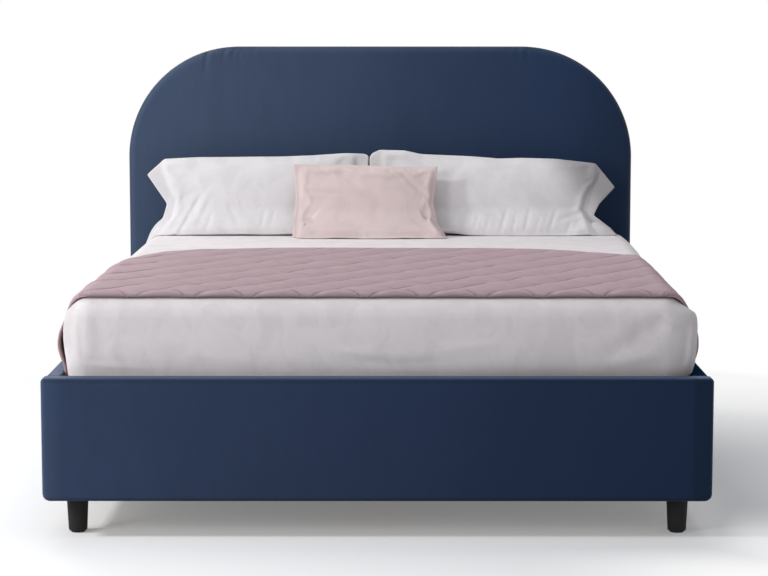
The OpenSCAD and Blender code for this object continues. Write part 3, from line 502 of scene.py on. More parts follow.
def make_piece(name, points, faces, finish, body, replaced=(), merge=None):
    """A smooth mesh piece that rides on a body."""
    mesh = bpy.data.meshes.new(name)
    mesh.from_pydata(np.asarray(points, float).tolist(), [], faces.tolist())
    if merge:
        work = bmesh.new()
        work.from_mesh(mesh)
        bmesh.ops.remove_doubles(work, verts=work.verts, dist=merge)
        bmesh.ops.recalc_face_normals(work, faces=work.faces)
        work.to_mesh(mesh)
        work.free()
    mesh.shade_smooth()
    piece = placed(name, mesh)
    mesh.materials.append(finish)
    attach(piece, body)
    if replaced:
        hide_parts(*replaced)
    return piece


def points_of(piece):
    found = np.zeros(len(piece.data.vertices) * 3)
    piece.data.vertices.foreach_get("co", found)
    return found.reshape(-1, 3)


def set_points(piece, points):
    piece.data.vertices.foreach_set("co", np.ascontiguousarray(points, float).ravel())
    piece.data.update()


def lumps(points, rate, seed=0.0):
    """Smooth noise from -1 to 1 at each point."""
    places = points * np.array(rate) + np.array([seed, -seed, 2 * seed])
    return np.array([noise.noise(Vector(place)) for place in places])


def flat_lumps(across, up, rate, seed):
    """Smooth noise from -1 to 1 over a grid of places in a plane."""
    flat = np.stack([across.ravel(), up.ravel(), np.zeros(up.size)], 1)
    return lumps(flat, rate, seed).reshape(up.shape)


def gone_along(line):
    """Length from the start of a line of points to each of them."""
    return np.concatenate([[0], np.cumsum(np.hypot(*np.diff(line, axis=0).T))])


def ramp(value, low, high):
    """0 below low, 1 above high, and smooth between them."""
    t = np.clip((value - low) / (high - low), 0, 1)
    return t * t * (3 - 2 * t)


def edge_lines(low, high, step, fine, reach):
    """Places from low to high, closer together near each end."""
    near = np.arange(0, reach - TINY, fine)
    count = max(2, int((high - low - 2 * reach) / step) + 1)
    middle = np.linspace(low + reach, high - reach, count)
    return np.concatenate([low + near, middle, (high - near)[::-1]])


class Slab:
    """A padded slab in its own axes: across u, up v, and into the slab d.
    Its front edge is rounded by r, and its corners in the plane by low_r and high_r."""

    def __init__(self, u, v, depth, r, low_r, high_r, ends=True):
        self.u, self.v, self.depth, self.r = u, v, depth, r
        self.low_r, self.high_r = low_r, high_r
        self.ends = ends
        self.mid, self.half = (u[0] + u[1]) / 2, (u[1] - u[0]) / 2

    def corner(self, u, v):
        """Centre of the plan corner that each point lies in, the way from it, and its size."""
        if self.ends:
            radius = np.where(v > (self.v[0] + self.v[1]) / 2, self.high_r, self.low_r)
        else:
            radius = np.zeros_like(v)
        core_u = np.clip(u - self.mid, radius - self.half, self.half - radius) + self.mid
        core_v = np.clip(v, self.v[0] + radius, self.v[1] - radius)
        return core_u, core_v, u - core_u, v - core_v, radius

    def warped(self, u, v):
        """Moves the points of the bounding rectangle onto the rounded plan."""
        core_u, core_v, du, dv, _ = self.corner(u, v)
        length = np.maximum(np.hypot(du, dv), TINY)
        scale = np.where(length > TINY, np.maximum(abs(du), abs(dv)) / length, 1)
        return core_u + du * scale, core_v + dv * scale

    def rounded(self, u, v, depth):
        """Points (u, v, d) at one depth, drawn in where the slab's front edge is round."""
        r = self.r
        core_u, core_v, du, dv, radius = self.corner(u, v)
        length = np.maximum(np.hypot(du, dv), TINY)
        reach = np.minimum(length, np.maximum(radius - r, 0)) / length
        near_u, near_v = core_u + du * reach, core_v + dv * reach
        if self.ends:
            near_u = np.clip(near_u, self.mid - self.half + r, self.mid + self.half - r)
        near_v = np.clip(near_v, self.v[0] + r, self.v[1] - r)
        near = np.stack([near_u, near_v, np.full_like(u, max(depth, r))], 1)
        out = np.stack([u, v, np.full_like(u, depth)], 1) - near
        size = np.maximum(np.linalg.norm(out, axis=1, keepdims=True), TINY)
        return near + out * np.minimum(1, r / size)

    def surface(self, u_lines, v_lines, d_lines):
        """Front and edge of the slab as points in (u, v, d), with faces; the back stays open."""
        uu, vv = np.meshgrid(u_lines, v_lines, indexing="ij")
        u, v = self.warped(uu.ravel(), vv.ravel())
        rim = border(*uu.shape)[::-1]
        points = [self.rounded(u, v, 0.0)] + [self.rounded(u[rim], v[rim], d) for d in d_lines]
        faces = [grid_faces(*uu.shape), grid_faces(len(d_lines), len(rim), uu.size)]
        return np.concatenate(points), np.concatenate(faces)


# Spacing of the covers' meshes, how much smaller than a cover's the corners of its hollow are,
# and the radius of the hollow's edge
COVER_STEP = 0.007
PAD_CORNER = 0.014
BOARD_EDGE = 0.0005


def cover(name, slab, board, to_world, finish, replaced, swell):
    """A padded cover round a board: the outer skin, the hollow for the board and the rim.
    The board is its extent across and up, and its depth in the slab."""
    board_u, board_v, front = board
    fine = slab.r / 4
    if slab.ends:
        u_lines = edge_lines(*slab.u, COVER_STEP, fine, slab.r)
    else:
        u_lines = np.linspace(*slab.u, round(2 * slab.half / COVER_STEP) + 1)
    v_lines = edge_lines(*slab.v, COVER_STEP, fine, slab.r)
    d_lines = np.concatenate([np.arange(0, slab.r, fine), np.linspace(slab.r, slab.depth, 6)])
    outer, faces = slab.surface(u_lines, v_lines, d_lines)
    outer[:, 2] += swell(outer)
    hollow = Slab(board_u, board_v, slab.depth - front, BOARD_EDGE,
                  max(0.0, slab.low_r - PAD_CORNER), max(0.0, slab.high_r - PAD_CORNER), slab.ends)
    inner, inner_faces = hollow.surface(
        np.interp(u_lines, slab.u, board_u), np.interp(v_lines, slab.v, board_v),
        np.linspace(0, hollow.depth, 3))
    inner[:, 2] += front
    rim = len(border(len(u_lines), len(v_lines)))
    a = len(outer) - rim + np.arange(rim - 1)
    b = a + len(inner)
    faces = np.concatenate([
        faces, inner_faces[:, ::-1] + len(outer), np.stack([a, a + 1, b + 1, b], 1)])
    make_piece(name, to_world(np.concatenate([outer, inner])), faces, finish, "base",
               replaced, merge=WELD)


def facing_foot(front):
    """Turns a slab whose face lies at this place along the bed into the bed's axes."""
    return lambda points: np.stack([points[:, 0], front + points[:, 2], points[:, 1]], 1)


# Operators


class BED_OT_headboard(bpy.types.Operator):
    """Padded headboard cover with gathers at the shoulders of the arch"""

    bl_idname = "bed.headboard"
    bl_label = "Headboard cover"

    def execute(self, context):
        sizes = context.scene.bed_sizes
        slab = Slab((-HEAD_HI.x, HEAD_HI.x), (HEAD_LO.z, HEAD_HI.z), HEAD_HI.y - HEAD_LO.y,
                    sizes.head_edge, sizes.head_edge, sizes.head_round)
        board = (-BOARD_HI.x, BOARD_HI.x), (BOARD_LO.z, BOARD_HI.z), BOARD_LO.y - HEAD_LO.y
        finish = velvet_finish("headboard_velvet", tuple(context.scene.bed_colours.velvet))
        cover("headboard_cover", slab, board, facing_foot(HEAD_LO.y), finish,
              ["headboard_padding"], self.swell)
        return {"FINISHED"}

    @staticmethod
    def swell(points):
        """How far the cover's gathers and soft lumps move its face in."""
        u, v, d = points.T
        front = ramp(-d, -0.03, -0.002)
        under = HEAD_HI.z - v
        gathers = np.zeros_like(u)
        for at, reach, depth, width in GATHERS:
            side = np.exp(-((u - at - 0.12 * under * np.sign(at)) / width) ** 2)
            gathers += depth * side * ramp(-under, -reach, -0.01) * ramp(under, 0.0, 0.012)
        return (gathers - lumps(points, (2.3, 2.6, 1.0), 3.1) * LUMP_DEPTH) * front


# Gathers of the headboard's cover: place across, length, depth and width
GATHERS = [
    (-0.584, 0.115, 0.005, 0.006), (-0.566, 0.07, -0.0022, 0.008), (-0.525, 0.06, 0.0036, 0.006),
    (-0.507, 0.055, -0.002, 0.006), (-0.492, 0.06, 0.0034, 0.005), (-0.47, 0.065, 0.0038, 0.005),
    (-0.452, 0.05, 0.0026, 0.005), (-0.43, 0.045, 0.0018, 0.008), (0.43, 0.045, 0.0018, 0.008),
    (0.462, 0.06, 0.0034, 0.005), (0.478, 0.05, -0.002, 0.005), (0.495, 0.065, 0.0038, 0.005),
    (0.515, 0.055, 0.0026, 0.006), (0.54, 0.045, 0.0016, 0.008),
]


class BED_OT_rails(bpy.types.Operator):
    """Padded covers of the foot rail and the side rails"""

    bl_idname = "bed.rails"
    bl_label = "Rail covers"

    def execute(self, context):
        sizes = context.scene.bed_sizes
        # the rails take a darker copy of the headboard's velvet, as painted shade
        colour = scaled(context.scene.bed_colours.velvet, RAIL_PAINTED_SHADE)
        finish = velvet_finish("rail_velvet", colour, rail=True)
        slab = Slab((RAIL_LO.x, RAIL_HI.x), (RAIL_LO.z, RAIL_HI.z), RAIL_HI.y - RAIL_LO.y,
                    sizes.rail_edge, sizes.rail_corner, sizes.rail_shoulder)
        board = ((FOOT_BOARD_LO.x, FOOT_BOARD_HI.x), (FOOT_BOARD_LO.z, FOOT_BOARD_HI.z),
                 FOOT_BOARD_LO.y - RAIL_LO.y)
        cover("foot_rail_skin", slab, board, facing_foot(RAIL_LO.y), finish,
              ["foot_rail_cover"], self.foot_swell)
        slab = Slab((SIDE_LO.y, SIDE_HI.y), (SIDE_LO.z, SIDE_HI.z), SIDE_HI.x - SIDE_LO.x,
                    sizes.side_edge, 0.0, 0.0, ends=False)
        board = slab.u, (SIDE_BOARD_LO.z, SIDE_BOARD_HI.z), SIDE_HI.x - SIDE_BOARD_HI.x
        self.side_cover("left", -1, slab, board, finish)
        finish = velvet_finish("right_rail_velvet", colour, rail=True, sheen=0.0, gloss=0.0)
        self.side_cover("right", 1, slab, board, finish)
        return {"FINISHED"}

    @staticmethod
    def foot_swell(points):
        """How far the foot rail's seams and soft lumps move its face in."""
        _, v, d = points.T
        seam = sum(SEAM_DEPTH * np.exp(-((RAIL_HI.z - v - at) / SEAM_WIDTH) ** 2)
                   for at in RAIL_SEAMS)
        soft = lumps(points, (3.0, 5.0, 1.0), 7.7) * LUMP_DEPTH
        return (seam - soft) * ramp(-d, -0.02, -0.002)

    @staticmethod
    def side_cover(name, side, slab, board, finish):
        """Cover of the rail on the left (-1) or on the right (1)."""
        def swell(points):
            soft = lumps(points, (2.5, 5.0, 1.0), 11.0 * side) * LUMP_DEPTH
            return -soft * ramp(-points[:, 2], -0.02, -0.002)

        def to_world(points):
            return np.stack([side * (SIDE_HI.x - points[:, 2]), points[:, 0], points[:, 1]], 1)

        cover(f"{name}_rail_skin", slab, board, to_world, finish, [f"{name}_rail_cover"], swell)


# Factors of painted shade that darken the headboard's velvet for the rails, how far under the top
# its seams lie, their depth and width, and the colour of the light painted where the velvet turns
# over the top and the left end
RAIL_PAINTED_SHADE = (0.605, 0.64, 0.77)
RAIL_SEAMS = (0.005, 0.0095)
SEAM_DEPTH = 0.0012
SEAM_WIDTH = 0.0016
RAIL_PAINTED_LIGHT = (0.085, 0.12, 0.19)

# Depth of the soft lumps in the padded covers
LUMP_DEPTH = 0.0012


class BED_OT_mattress(bpy.types.Operator):
    """Mattress in its ticking, and the fitted sheet over it"""

    bl_idname = "bed.mattress"
    bl_label = "Mattress and sheet"

    def execute(self, context):
        sizes = context.scene.bed_sizes
        colours = context.scene.bed_colours
        self.ticking(sizes, tuple(colours.ticking))
        self.fitted_sheet(sizes, tuple(colours.sheet))
        return {"FINISHED"}

    def ticking(self, sizes, colour):
        edge = sizes.mattress_edge - 0.004
        slab = Slab((BED_LO.x, BED_HI.x), (BED_LO.y, BED_HI.y), BED_HI.z - BED_LO.z,
                    edge, sizes.mattress_corner, sizes.mattress_corner)
        depth = slab.depth
        d_lines = np.concatenate([
            np.arange(0, edge, 0.012), np.linspace(edge, depth - 0.016, 8),
            [depth - 0.01, depth - 0.005, depth - 0.002, depth]])
        points, faces = slab.surface(edge_lines(*slab.u, 0.03, 0.012, edge),
                                     edge_lines(*slab.v, 0.03, 0.012, edge), d_lines)
        u, v, d = points.T
        tuck = TICKING_TUCK * ramp(d, depth - 0.016, depth)
        middle = (BED_LO.y + BED_HI.y) / 2
        u = u - np.sign(u) * tuck * (abs(u) > 0.5)
        v = middle + (v - middle) * (1 - tuck / (BED_HI.y - middle))
        top = np.stack([u, v, BED_HI.z - d], 1)
        under = Slab((BED_LO.x + TICKING_TUCK, BED_HI.x - TICKING_TUCK),
                     (BED_LO.y + TICKING_TUCK, BED_HI.y - TICKING_TUCK), 0.01, 0.0005, 0.05, 0.05)
        uu, vv = np.meshgrid(
            np.linspace(*under.u, UNDER_GRID[0]), np.linspace(*under.v, UNDER_GRID[1]),
            indexing="ij")
        u, v = under.warped(uu.ravel(), vv.ravel())
        across, along_bed = (abs(np.sin(place * math.pi / UNDER_STITCH)) for place in (u, v))
        below = np.stack([u, v, BED_LO.z + 0.0022 * (1 - (across * along_bed) ** 0.4)], 1)
        faces = np.concatenate([faces, grid_faces(*UNDER_GRID, len(points), flip=True)])
        piece = make_piece("mattress_ticking", settled(np.concatenate([top, below])), faces,
                           cloth_finish("ticking_cloth", colour, TICKING_THREAD, 0.0008),
                           "platform", ["mattress"])

    def fitted_sheet(self, sizes, colour):
        edge = sizes.mattress_edge
        drop = TOP_Z - SHEET_LO.z
        slab = Slab((SHEET_LO.x, SHEET_HI.x), (SHEET_LO.y, SHEET_HI.y), drop,
                    edge, sizes.mattress_corner, sizes.mattress_corner)
        d_lines = np.concatenate([np.arange(0, edge, 0.005), np.arange(edge, drop, 0.006), [drop]])
        points, faces = slab.surface(edge_lines(*slab.u, 0.009, 0.005, edge),
                                     edge_lines(*slab.v, 0.011, 0.005, edge), d_lines)
        world = np.stack([points[:, 0], points[:, 1], TOP_Z - points[:, 2]], 1)
        piece = make_piece("fitted_sheet", settled(sheet_shape(world)), faces,
                           cloth_finish("sheet_cotton", colour, painted_shade=sheet_painted_shade),
                           "platform", ["sheet"], merge=WELD)


# How far the ticking is drawn in under the mattress, and its stitches and grid of points there
TICKING_TUCK = 0.012
UNDER_STITCH = 0.11
UNDER_GRID = (161, 191)


def settled(points):
    """Rounds the bed's left edge, and lets its right side swell out toward the pillows."""
    x, y, z = points.T
    left = ramp(-x, 0.6, 0.76) * ramp(z, 0.52, 0.59) * np.interp(y, *LEFT_EASE)
    out = np.interp(y, *RIGHT_SWELL)
    right = np.maximum(out, 0) * ramp(z, 0.43, 0.52) + np.minimum(out, 0) * ramp(z, 0.55, 0.6)
    return np.stack([x + left + right * ramp(x, 0.62, 0.78), y, z], 1)


# Places along the bed, and how far its left edge is drawn in and its right side out there
LEFT_EASE = ([-0.93, -0.6, 0.0, 0.7], [0.008, 0.013, 0.017, 0.017])
RIGHT_SWELL = ([-0.93, -0.75, -0.46, -0.15, 0.08, 0.45, 0.71],
               [-0.009, -0.005, 0.0, 0.006, 0.012, 0.03, 0.036])


def sheet_shape(points):
    """Lets the sheet's sides swell over the rails and crease as pulled cloth does."""
    x, y, z = points.T.copy()
    rise = (z - BASE_TOP) / (TOP_Z - BASE_TOP)
    bulge = np.sin(np.clip(rise, 0, 1) * math.pi) ** 0.8
    side = ramp(abs(x), SHEET_HI.x - 0.05, SHEET_HI.x - 0.01)
    corner = ramp(-y, 0.912, 0.938)
    swell = np.where(x < 0, np.interp(z, *CORNER_SWELL_LEFT), np.interp(z, *CORNER_SWELL_RIGHT))
    x = x + np.sign(x) * side * (swell * corner + 0.008 * bulge * (1 - corner))
    front = ramp(-y, -SHEET_LO.y - 0.03, -SHEET_LO.y)
    creases = folds_at(np.stack([points[:, 0], z], 1), SHEET_FOLDS)
    soft = lumps(points, (3.5, 1.0, 7.0), 4.0) * 0.0016
    between = ramp(rise, 0.0, 0.2) * ramp(-rise, -1.0, -0.85)
    y = y - (0.004 * bulge + (creases + soft) * between) * front
    return np.stack([x, y, z], 1)


# Heights, and how far the sheet swells out there at the two corners of the foot end
CORNER_SWELL_LEFT = ([0.4, 0.44, 0.47, 0.496, 0.548, 0.574, 0.59],
                     [0.0, 0.004, 0.009, 0.012, 0.012, 0.0105, 0.0])
CORNER_SWELL_RIGHT = ([0.395, 0.411, 0.44, 0.484, 0.5356, 0.569, 0.581, 0.594],
                      [0.003, 0.015, 0.023, 0.0275, 0.028, 0.025, 0.014, 0.0])

# Soft creases of the sheet's front: (x, z, x, z, depth, width) from end to end
SHEET_FOLDS = [
    (-0.77, 0.565, -0.765, 0.43, 0.0022, 0.012), (-0.72, 0.57, -0.7, 0.44, -0.0012, 0.03),
    (-0.77, 0.44, -0.56, 0.425, 0.0018, 0.012), (-0.12, 0.48, 0.08, 0.452, 0.0018, 0.02),
    (-0.08, 0.455, 0.15, 0.44, -0.0012, 0.018), (0.12, 0.47, 0.33, 0.5, 0.0012, 0.024),
    (-0.5, 0.47, -0.33, 0.44, 0.001, 0.02), (0.77, 0.58, 0.6, 0.47, -0.003, 0.035),
    (0.74, 0.47, 0.56, 0.43, 0.002, 0.03), (0.786, 0.56, 0.78, 0.42, 0.01, 0.008),
]


class BED_OT_quilt(bpy.types.Operator):
    """Quilt stitched in diamonds, over the mattress and down beside the rails"""

    bl_idname = "bed.quilt"
    bl_label = "Quilt"

    def execute(self, context):
        sizes = context.scene.bed_sizes
        colours = context.scene.bed_colours
        section, length = self.section(sizes)
        size_y = QUILT_HI.y - QUILT_LO.y
        rows = np.concatenate([HEM_ROWS, np.linspace(0.022, size_y, int(size_y / QUILT_STEP))])
        s, rows = np.meshgrid(length, rows, indexing="ij")
        arc_x = SHEET_HI.x - sizes.mattress_edge
        head_hem = head_hem_at(length)[:, None]
        foot_hem = QUILT_LO.y - 0.005 + 0.025 * ramp(abs(length), arc_x, arc_x + 0.07)[:, None]
        y = foot_hem + rows / size_y * (head_hem - foot_hem)
        layers = self.layers(sizes, section, s, y, (foot_hem, head_hem))
        points = settled(np.concatenate(layers))
        finish = quilt_finish("quilt_cotton", tuple(colours.quilt), sizes.quilt_diamond)
        piece = make_piece("quilt_spread", points, shell_faces(*s.shape), finish, "platform",
                           ["quilt"])
        piece.data.materials.append(cloth_finish("quilt_lining", tuple(colours.lining)))
        piece.data.materials.append(cloth_finish("quilt_binding", tuple(colours.sheet)))
        upper_faces = (s.shape[0] - 1) * (s.shape[1] - 1)
        for index, face in enumerate(piece.data.polygons):
            x, y, z = face.center
            if index >= upper_faces:
                face.material_index = int(abs(x) > arc_x or y > QUILT_LO.y + 0.03)
            elif y > head_hem_at(x) - BINDING_WIDTH and BINDING_FROM < x < BINDING_TO:
                face.material_index = 2
        return {"FINISHED"}

    @staticmethod
    def section(sizes):
        """The bed's section under the quilt, from hem to hem, and the length along it from the
        bed's middle. Each row holds x and z, and the way out from there."""
        edge = sizes.mattress_edge
        arc_x, arc_z = SHEET_HI.x - edge, TOP_Z - edge
        tuck = BASE_TOP + QUILT_TUCK
        r = edge + QUILT_OFF

        def half(swell, fullness):
            flat = [(x, TOP_Z + QUILT_OFF, 0.0, 1.0) for x in np.arange(0, arc_x, QUILT_STEP)]
            bend = [(arc_x + r * math.sin(a), arc_z + r * math.cos(a), math.sin(a), math.cos(a))
                    for a in np.linspace(0, math.pi / 2, 13)]
            drop = []
            for z in np.arange(arc_z - QUILT_STEP, QUILT_LO.z - 1e-6, -QUILT_STEP):
                rise = max(0.0, (z - tuck) / (arc_z - tuck))
                out = swell * math.sin(math.pi * rise) ** fullness
                drop.append((SHEET_HI.x + QUILT_OFF + out, z, 1.0, 0.0))
            return np.array(flat + bend + drop)

        left = half(sizes.quilt_swell_left, 1.5)
        right = half(sizes.quilt_swell_right, 1.0)
        left[:, [0, 2]] *= -1
        section = np.concatenate([left[:0:-1], right])
        length = gone_along(section[:, :2])
        return section, length - length[len(left) - 1]

    @staticmethod
    def layers(sizes, section, s, y, hems):
        """Points of the quilt's upper and under side, from the places across and along it."""
        edge = sizes.mattress_edge
        foot_hem, head_hem = hems
        x, z, out_x, out_z = section.T[:, :, None]
        thicker = QUILT_HI.z - TOP_Z - QUILT_OFF - QUILT_SIDE
        full = QUILT_SIDE + thicker * np.maximum(0, out_z) ** 2

        across = (s - QUILT_CROSS) * math.pi / sizes.quilt_diamond
        beyond = (y - QUILT_LO.y + QUILT_BEFORE) * math.pi / (sizes.quilt_diamond * QUILT_STRETCH)
        rising = abs(np.sin(across - beyond)) ** 0.5
        falling = abs(np.sin(across + beyond)) ** 0.5
        share = 0.9 - 0.72 * ramp(y - foot_hem, 0.012, 0.05)
        crest = rising * (1 - share + share * falling)
        folds, small_folds, pulled = (
            flat_lumps(s, y, rate, seed) * depth for rate, seed, depth in QUILT_LUMPS)
        folds = np.maximum(0, folds + small_folds)
        over_edge = ramp(abs(s), SHEET_HI.x - edge - 0.04, SHEET_HI.x - edge + 0.02)
        puff = np.minimum(sizes.quilt_puff, 0.62 * full) * (1 - 0.7 * over_edge)
        height = full - puff * (1 - crest) + pulled * crest
        height = full - (full - height) * ramp(head_hem - y, 0.0, 0.12)
        height = height - 0.004 * ramp(y - head_hem, -0.12, 0.0)
        roll = 1 - np.clip((y - foot_hem) / HEM_ROLL, 0, 1)
        roll = np.sqrt(np.maximum(0, 1 - roll ** 2))
        pressed = ramp((foot_hem - y) / (head_hem - foot_hem), -1.0, -0.985)
        before = np.maximum(0, SHEET_LO.y + edge - y)
        sag = edge - np.sqrt(np.maximum(edge ** 2 - before ** 2, 1e-6))

        def layer(height):
            level = z + out_z * height
            level = level - sag * ramp(level, TOP_Z - edge, TOP_Z)
            return np.stack([x + out_x * height, y, level], 2).reshape(-1, 3)

        return (layer(height * (0.5 + 0.5 * roll) * (0.5 + 0.5 * pressed) + folds),
                layer(height * 0.5 * (1 - roll) + folds * 0.8))


def head_hem_at(across):
    """Place along the bed of the quilt's hem at the pillows."""
    return np.interp(across, *zip(*QUILT_HEAD_HEM))


# Thickness of the quilt beside the rails, gap under it, height over the rails where it is
# tucked in, size of the roll at its front hem, spacing of its points, and their rows there
QUILT_SIDE = 0.0074
QUILT_OFF = 0.0025
QUILT_TUCK = 0.004
HEM_ROLL = 0.01
QUILT_STEP = 0.007
HEM_ROWS = [0.0, 0.0004, 0.0012, 0.0024, 0.004, 0.006, 0.008, 0.011, 0.016]

# Where the stitched lines cross before the front hem, and the diamonds' length for their width
QUILT_CROSS = -0.18
QUILT_BEFORE = 0.023
QUILT_STRETCH = 1.3

# Rate, seed and depth of the quilt's folds, of the small folds in them and of its pulled places
QUILT_LUMPS = [((2.2, 9.0, 1.0), 5.0, 0.0035), ((6.0, 22.0, 1.0), 9.0, 0.0018),
               ((15.0, 15.0, 1.0), 2.0, 0.0012)]

# The pale binding at the pillows: its width, and the places across the bed where it shows
BINDING_WIDTH = 0.034
BINDING_FROM = 0.545
BINDING_TO = 0.76

# The quilt's hem at the pillows: place across the quilt from its middle, and along the bed
QUILT_HEAD_HEM = [
    (-1.1, -0.26), (-0.84, -0.22), (-0.79, -0.16), (-0.75, -0.075), (-0.71, 0.005),
    (-0.65, 0.12), (-0.55, 0.2), (-0.3, 0.235), (0.0, 0.24), (0.3, 0.236),
    (0.45, 0.216), (0.56, 0.17), (0.69, 0.08), (0.76, 0.035), (0.8, -0.03),
    (0.86, -0.06), (1.1, -0.08),
]


def quilt_finish(name, colour, diamond):
    """Washed cotton with stitches along the diamond lines, painted shade in the grooves, a painted
    highlight beside each line, painted light across the quilt and painted shade on its front roll
    """
    f = Finish(name)
    x, y, z = f.axes()
    drop = (TOP_Z - 0.022 - z).most(0.0)
    across = x + drop * (x.steps(-0.01, 0.01) * 2 - 1)
    across = (across - QUILT_CROSS) * (math.pi / diamond)
    beyond = (y - QUILT_LO.y + QUILT_BEFORE) * (math.pi / (diamond * QUILT_STRETCH))
    rise, fall = across - beyond, across + beyond
    rising, falling = rise.sine().size(), fall.sine().size()
    share = 1 - (y - QUILT_LO.y).steps(0.01, 0.05) * 0.75
    # dark stitches, partly thread and partly painted shade, and painted shade in the grooves
    # beside them
    stitch = rising.fades(0.02, 0.13).most(falling.fades(0.02, 0.12) * share)
    groove = rising.fades(0.0, 0.36).most(falling.fades(0.0, 0.3) * share)
    # painted highlight on one side of each stitched line
    lit = (rise * 2).sine().most(0.0) * rising.fades(0.15, 0.75)
    lit = lit.most((fall * -2).sine().most(0.0) * falling.fades(0.08, 0.35) * share)
    dash = ((x * (2 * math.pi / STITCH_LENGTH)).sine() * 0.5 + 0.5) * stitch
    rumple = f.noise(24.0, 4.0, f.stretched((0.5, 1.6, 1.0), (0, 0, 0.5)), 0.55, 1.0)
    # painted light across the quilt, stronger at the left and the right
    pale = 0.5 - x.steps(-0.8, -0.4) * 0.3 + x.steps(0.1, 0.7) * 0.14
    above = z - TOP_Z
    # painted shade on the front roll, and a painted shadow under it
    roll_shade_mask = (y - QUILT_LO.y).fades(-0.004, 0.006) * above.steps(-0.03, -0.012)
    tone = f.varied(colour, 0.92, 1.06, rumple.steps(0.3, 0.7))
    # painted highlight, painted shade in the grooves, dark stitches, painted light across, painted
    # shade on the roll and a painted shadow under it
    for factor, mask in (
            (1.42, lit * 0.8), (0.66, groove * 0.5), (0.36, stitch * 0.75), (1.35, pale),
            (0.7, roll_shade_mask * above.fades(0.0, 0.011)), (0.15, above.fades(-0.004, 0.0005) * roll_shade_mask)):
        tone = f.mixed(tone, shaded(colour, factor), mask)
    normal = f.bump(thread_heights(f, COTTON_THREAD), 0.00015)
    normal = f.bump(rumple * (0.5 + groove) - stitch * 0.6 + dash * 0.3, 0.0024, normal)
    return f.finished(
        Base_Color=tone, Roughness=0.8 + 0.1 * rumple, Normal=normal,
        Sheen_Weight=0.2, Sheen_Roughness=0.45, Sheen_Tint=shaded(colour, 1.5),
        Specular_IOR_Level=0.25,
    )


STITCH_LENGTH = 0.006


def along(line, count):
    """Evenly spaced points along a line of points."""
    line = np.array(line, float)
    gone = gone_along(line)
    t = np.linspace(0, gone[-1], count)
    return np.stack([np.interp(t, gone, line[:, 0]), np.interp(t, gone, line[:, 1])], 1)


def outline_grid(form, columns, rows):
    """Grid of (across, up) points that fills an outline of four edges."""
    low, high = along(form["low"], columns), along(form["high"], columns)
    left, right = along(form["left"], rows), along(form["right"], rows)
    u = np.linspace(0, 1, columns)[:, None, None]
    v = np.linspace(0, 1, rows)[None, :, None]
    corners = (1 - u) * (low[0] * (1 - v) + high[0] * v) + u * (low[-1] * (1 - v) + high[-1] * v)

    def bent(line):
        t = np.linspace(0, 1, len(line))[:, None]
        return line - line[0] * (1 - t) - line[-1] * t

    grid = corners + bent(low)[:, None] * (1 - v) ** 2 + bent(high)[:, None] * v ** 2
    return grid + bent(left)[None] * (1 - u) ** 4 + bent(right)[None] * u ** 4


def stuffing(share, seams):
    """Fullness from 0 to 1 over a case, whose seams lie at the given shares of its size."""
    a = np.clip((share - seams[0]) / (1 - seams[0] - seams[1]), 0, 1) * 2 - 1
    return np.maximum(0, 1 - abs(a) ** 2.6) ** 0.55


def folds_at(points, folds):
    """Depth of a list of folds at each point: (x, y, x, y, depth, width) from end to end."""
    depth = np.zeros(points.shape[:-1])
    for x0, y0, x1, y1, deep, wide in folds:
        start, way = np.array([x0, y0]), np.array([x1 - x0, y1 - y0])
        size = np.hypot(*way)
        out = points - start
        t = (out @ way) / size ** 2
        off = (out[..., 0] * way[1] - out[..., 1] * way[0]) / size / wide
        ends = ramp(t, -0.15, 0.35) * ramp(-t, -1.2, -0.6)
        depth += deep * (1 - 1.6 * off ** 2) * np.exp(-off ** 2) * ends
    return depth


def bed_height(x):
    """Height of the sheet over the rounded upper edges of the mattress."""
    edge = MATTRESS_EDGE
    drawn = np.where(x < 0, LEFT_EASE[1][-1], -RIGHT_SWELL[1][-1])
    over = np.clip(abs(x) + drawn - (SHEET_HI.x - edge), 0, edge * 0.98)
    return TOP_Z - edge + np.sqrt(edge ** 2 - over ** 2)


def swollen(piece, held, most):
    """Lets a case swell as cloth under pressure: held points stay, others move at most so far."""
    start = points_of(piece)
    group = piece.vertex_groups.new(name="held")
    for index, weight in enumerate(held):
        if weight > 0:
            group.add([index], float(weight), "REPLACE")
    cloth = piece.modifiers.new("swell", "CLOTH")
    for name, value in SWELL_CLOTH.items():
        setattr(cloth.settings, name, value)
    cloth.settings.vertex_group_mass = group.name
    cloth.settings.effector_weights.gravity = 0
    scene = bpy.context.scene
    for step in range(1, SWELL_STEPS + 1):
        scene.frame_set(step)
    found = points_of(piece.evaluated_get(bpy.context.evaluated_depsgraph_get()))
    piece.modifiers.remove(cloth)
    scene.frame_set(1)
    piece.vertex_groups.clear()
    moved = found - start
    size = np.maximum(np.linalg.norm(moved, axis=1, keepdims=True), TINY)
    set_points(piece, start + moved * (most * np.tanh(size / most) / size))


# The cloth and the air in a case while it swells, and for how many steps it does
SWELL_CLOTH = {
    "quality": 6, "mass": 0.3, "tension_stiffness": 12, "compression_stiffness": 12,
    "shear_stiffness": 6, "bending_stiffness": 0.35, "shrink_min": -0.012,
    "use_pressure": True, "uniform_pressure_force": 2.5,
}
SWELL_STEPS = 20


def divided(piece):
    """Rounds a piece by subdividing it."""
    piece.modifiers.new("smooth", "SUBSURF").levels = 1
    shown = piece.evaluated_get(bpy.context.evaluated_depsgraph_get())
    mesh = bpy.data.meshes.new_from_object(shown)
    piece.modifiers.clear()
    old = piece.data
    piece.data = mesh
    bpy.data.meshes.remove(old)
    mesh.name = piece.name
    mesh.shade_smooth()


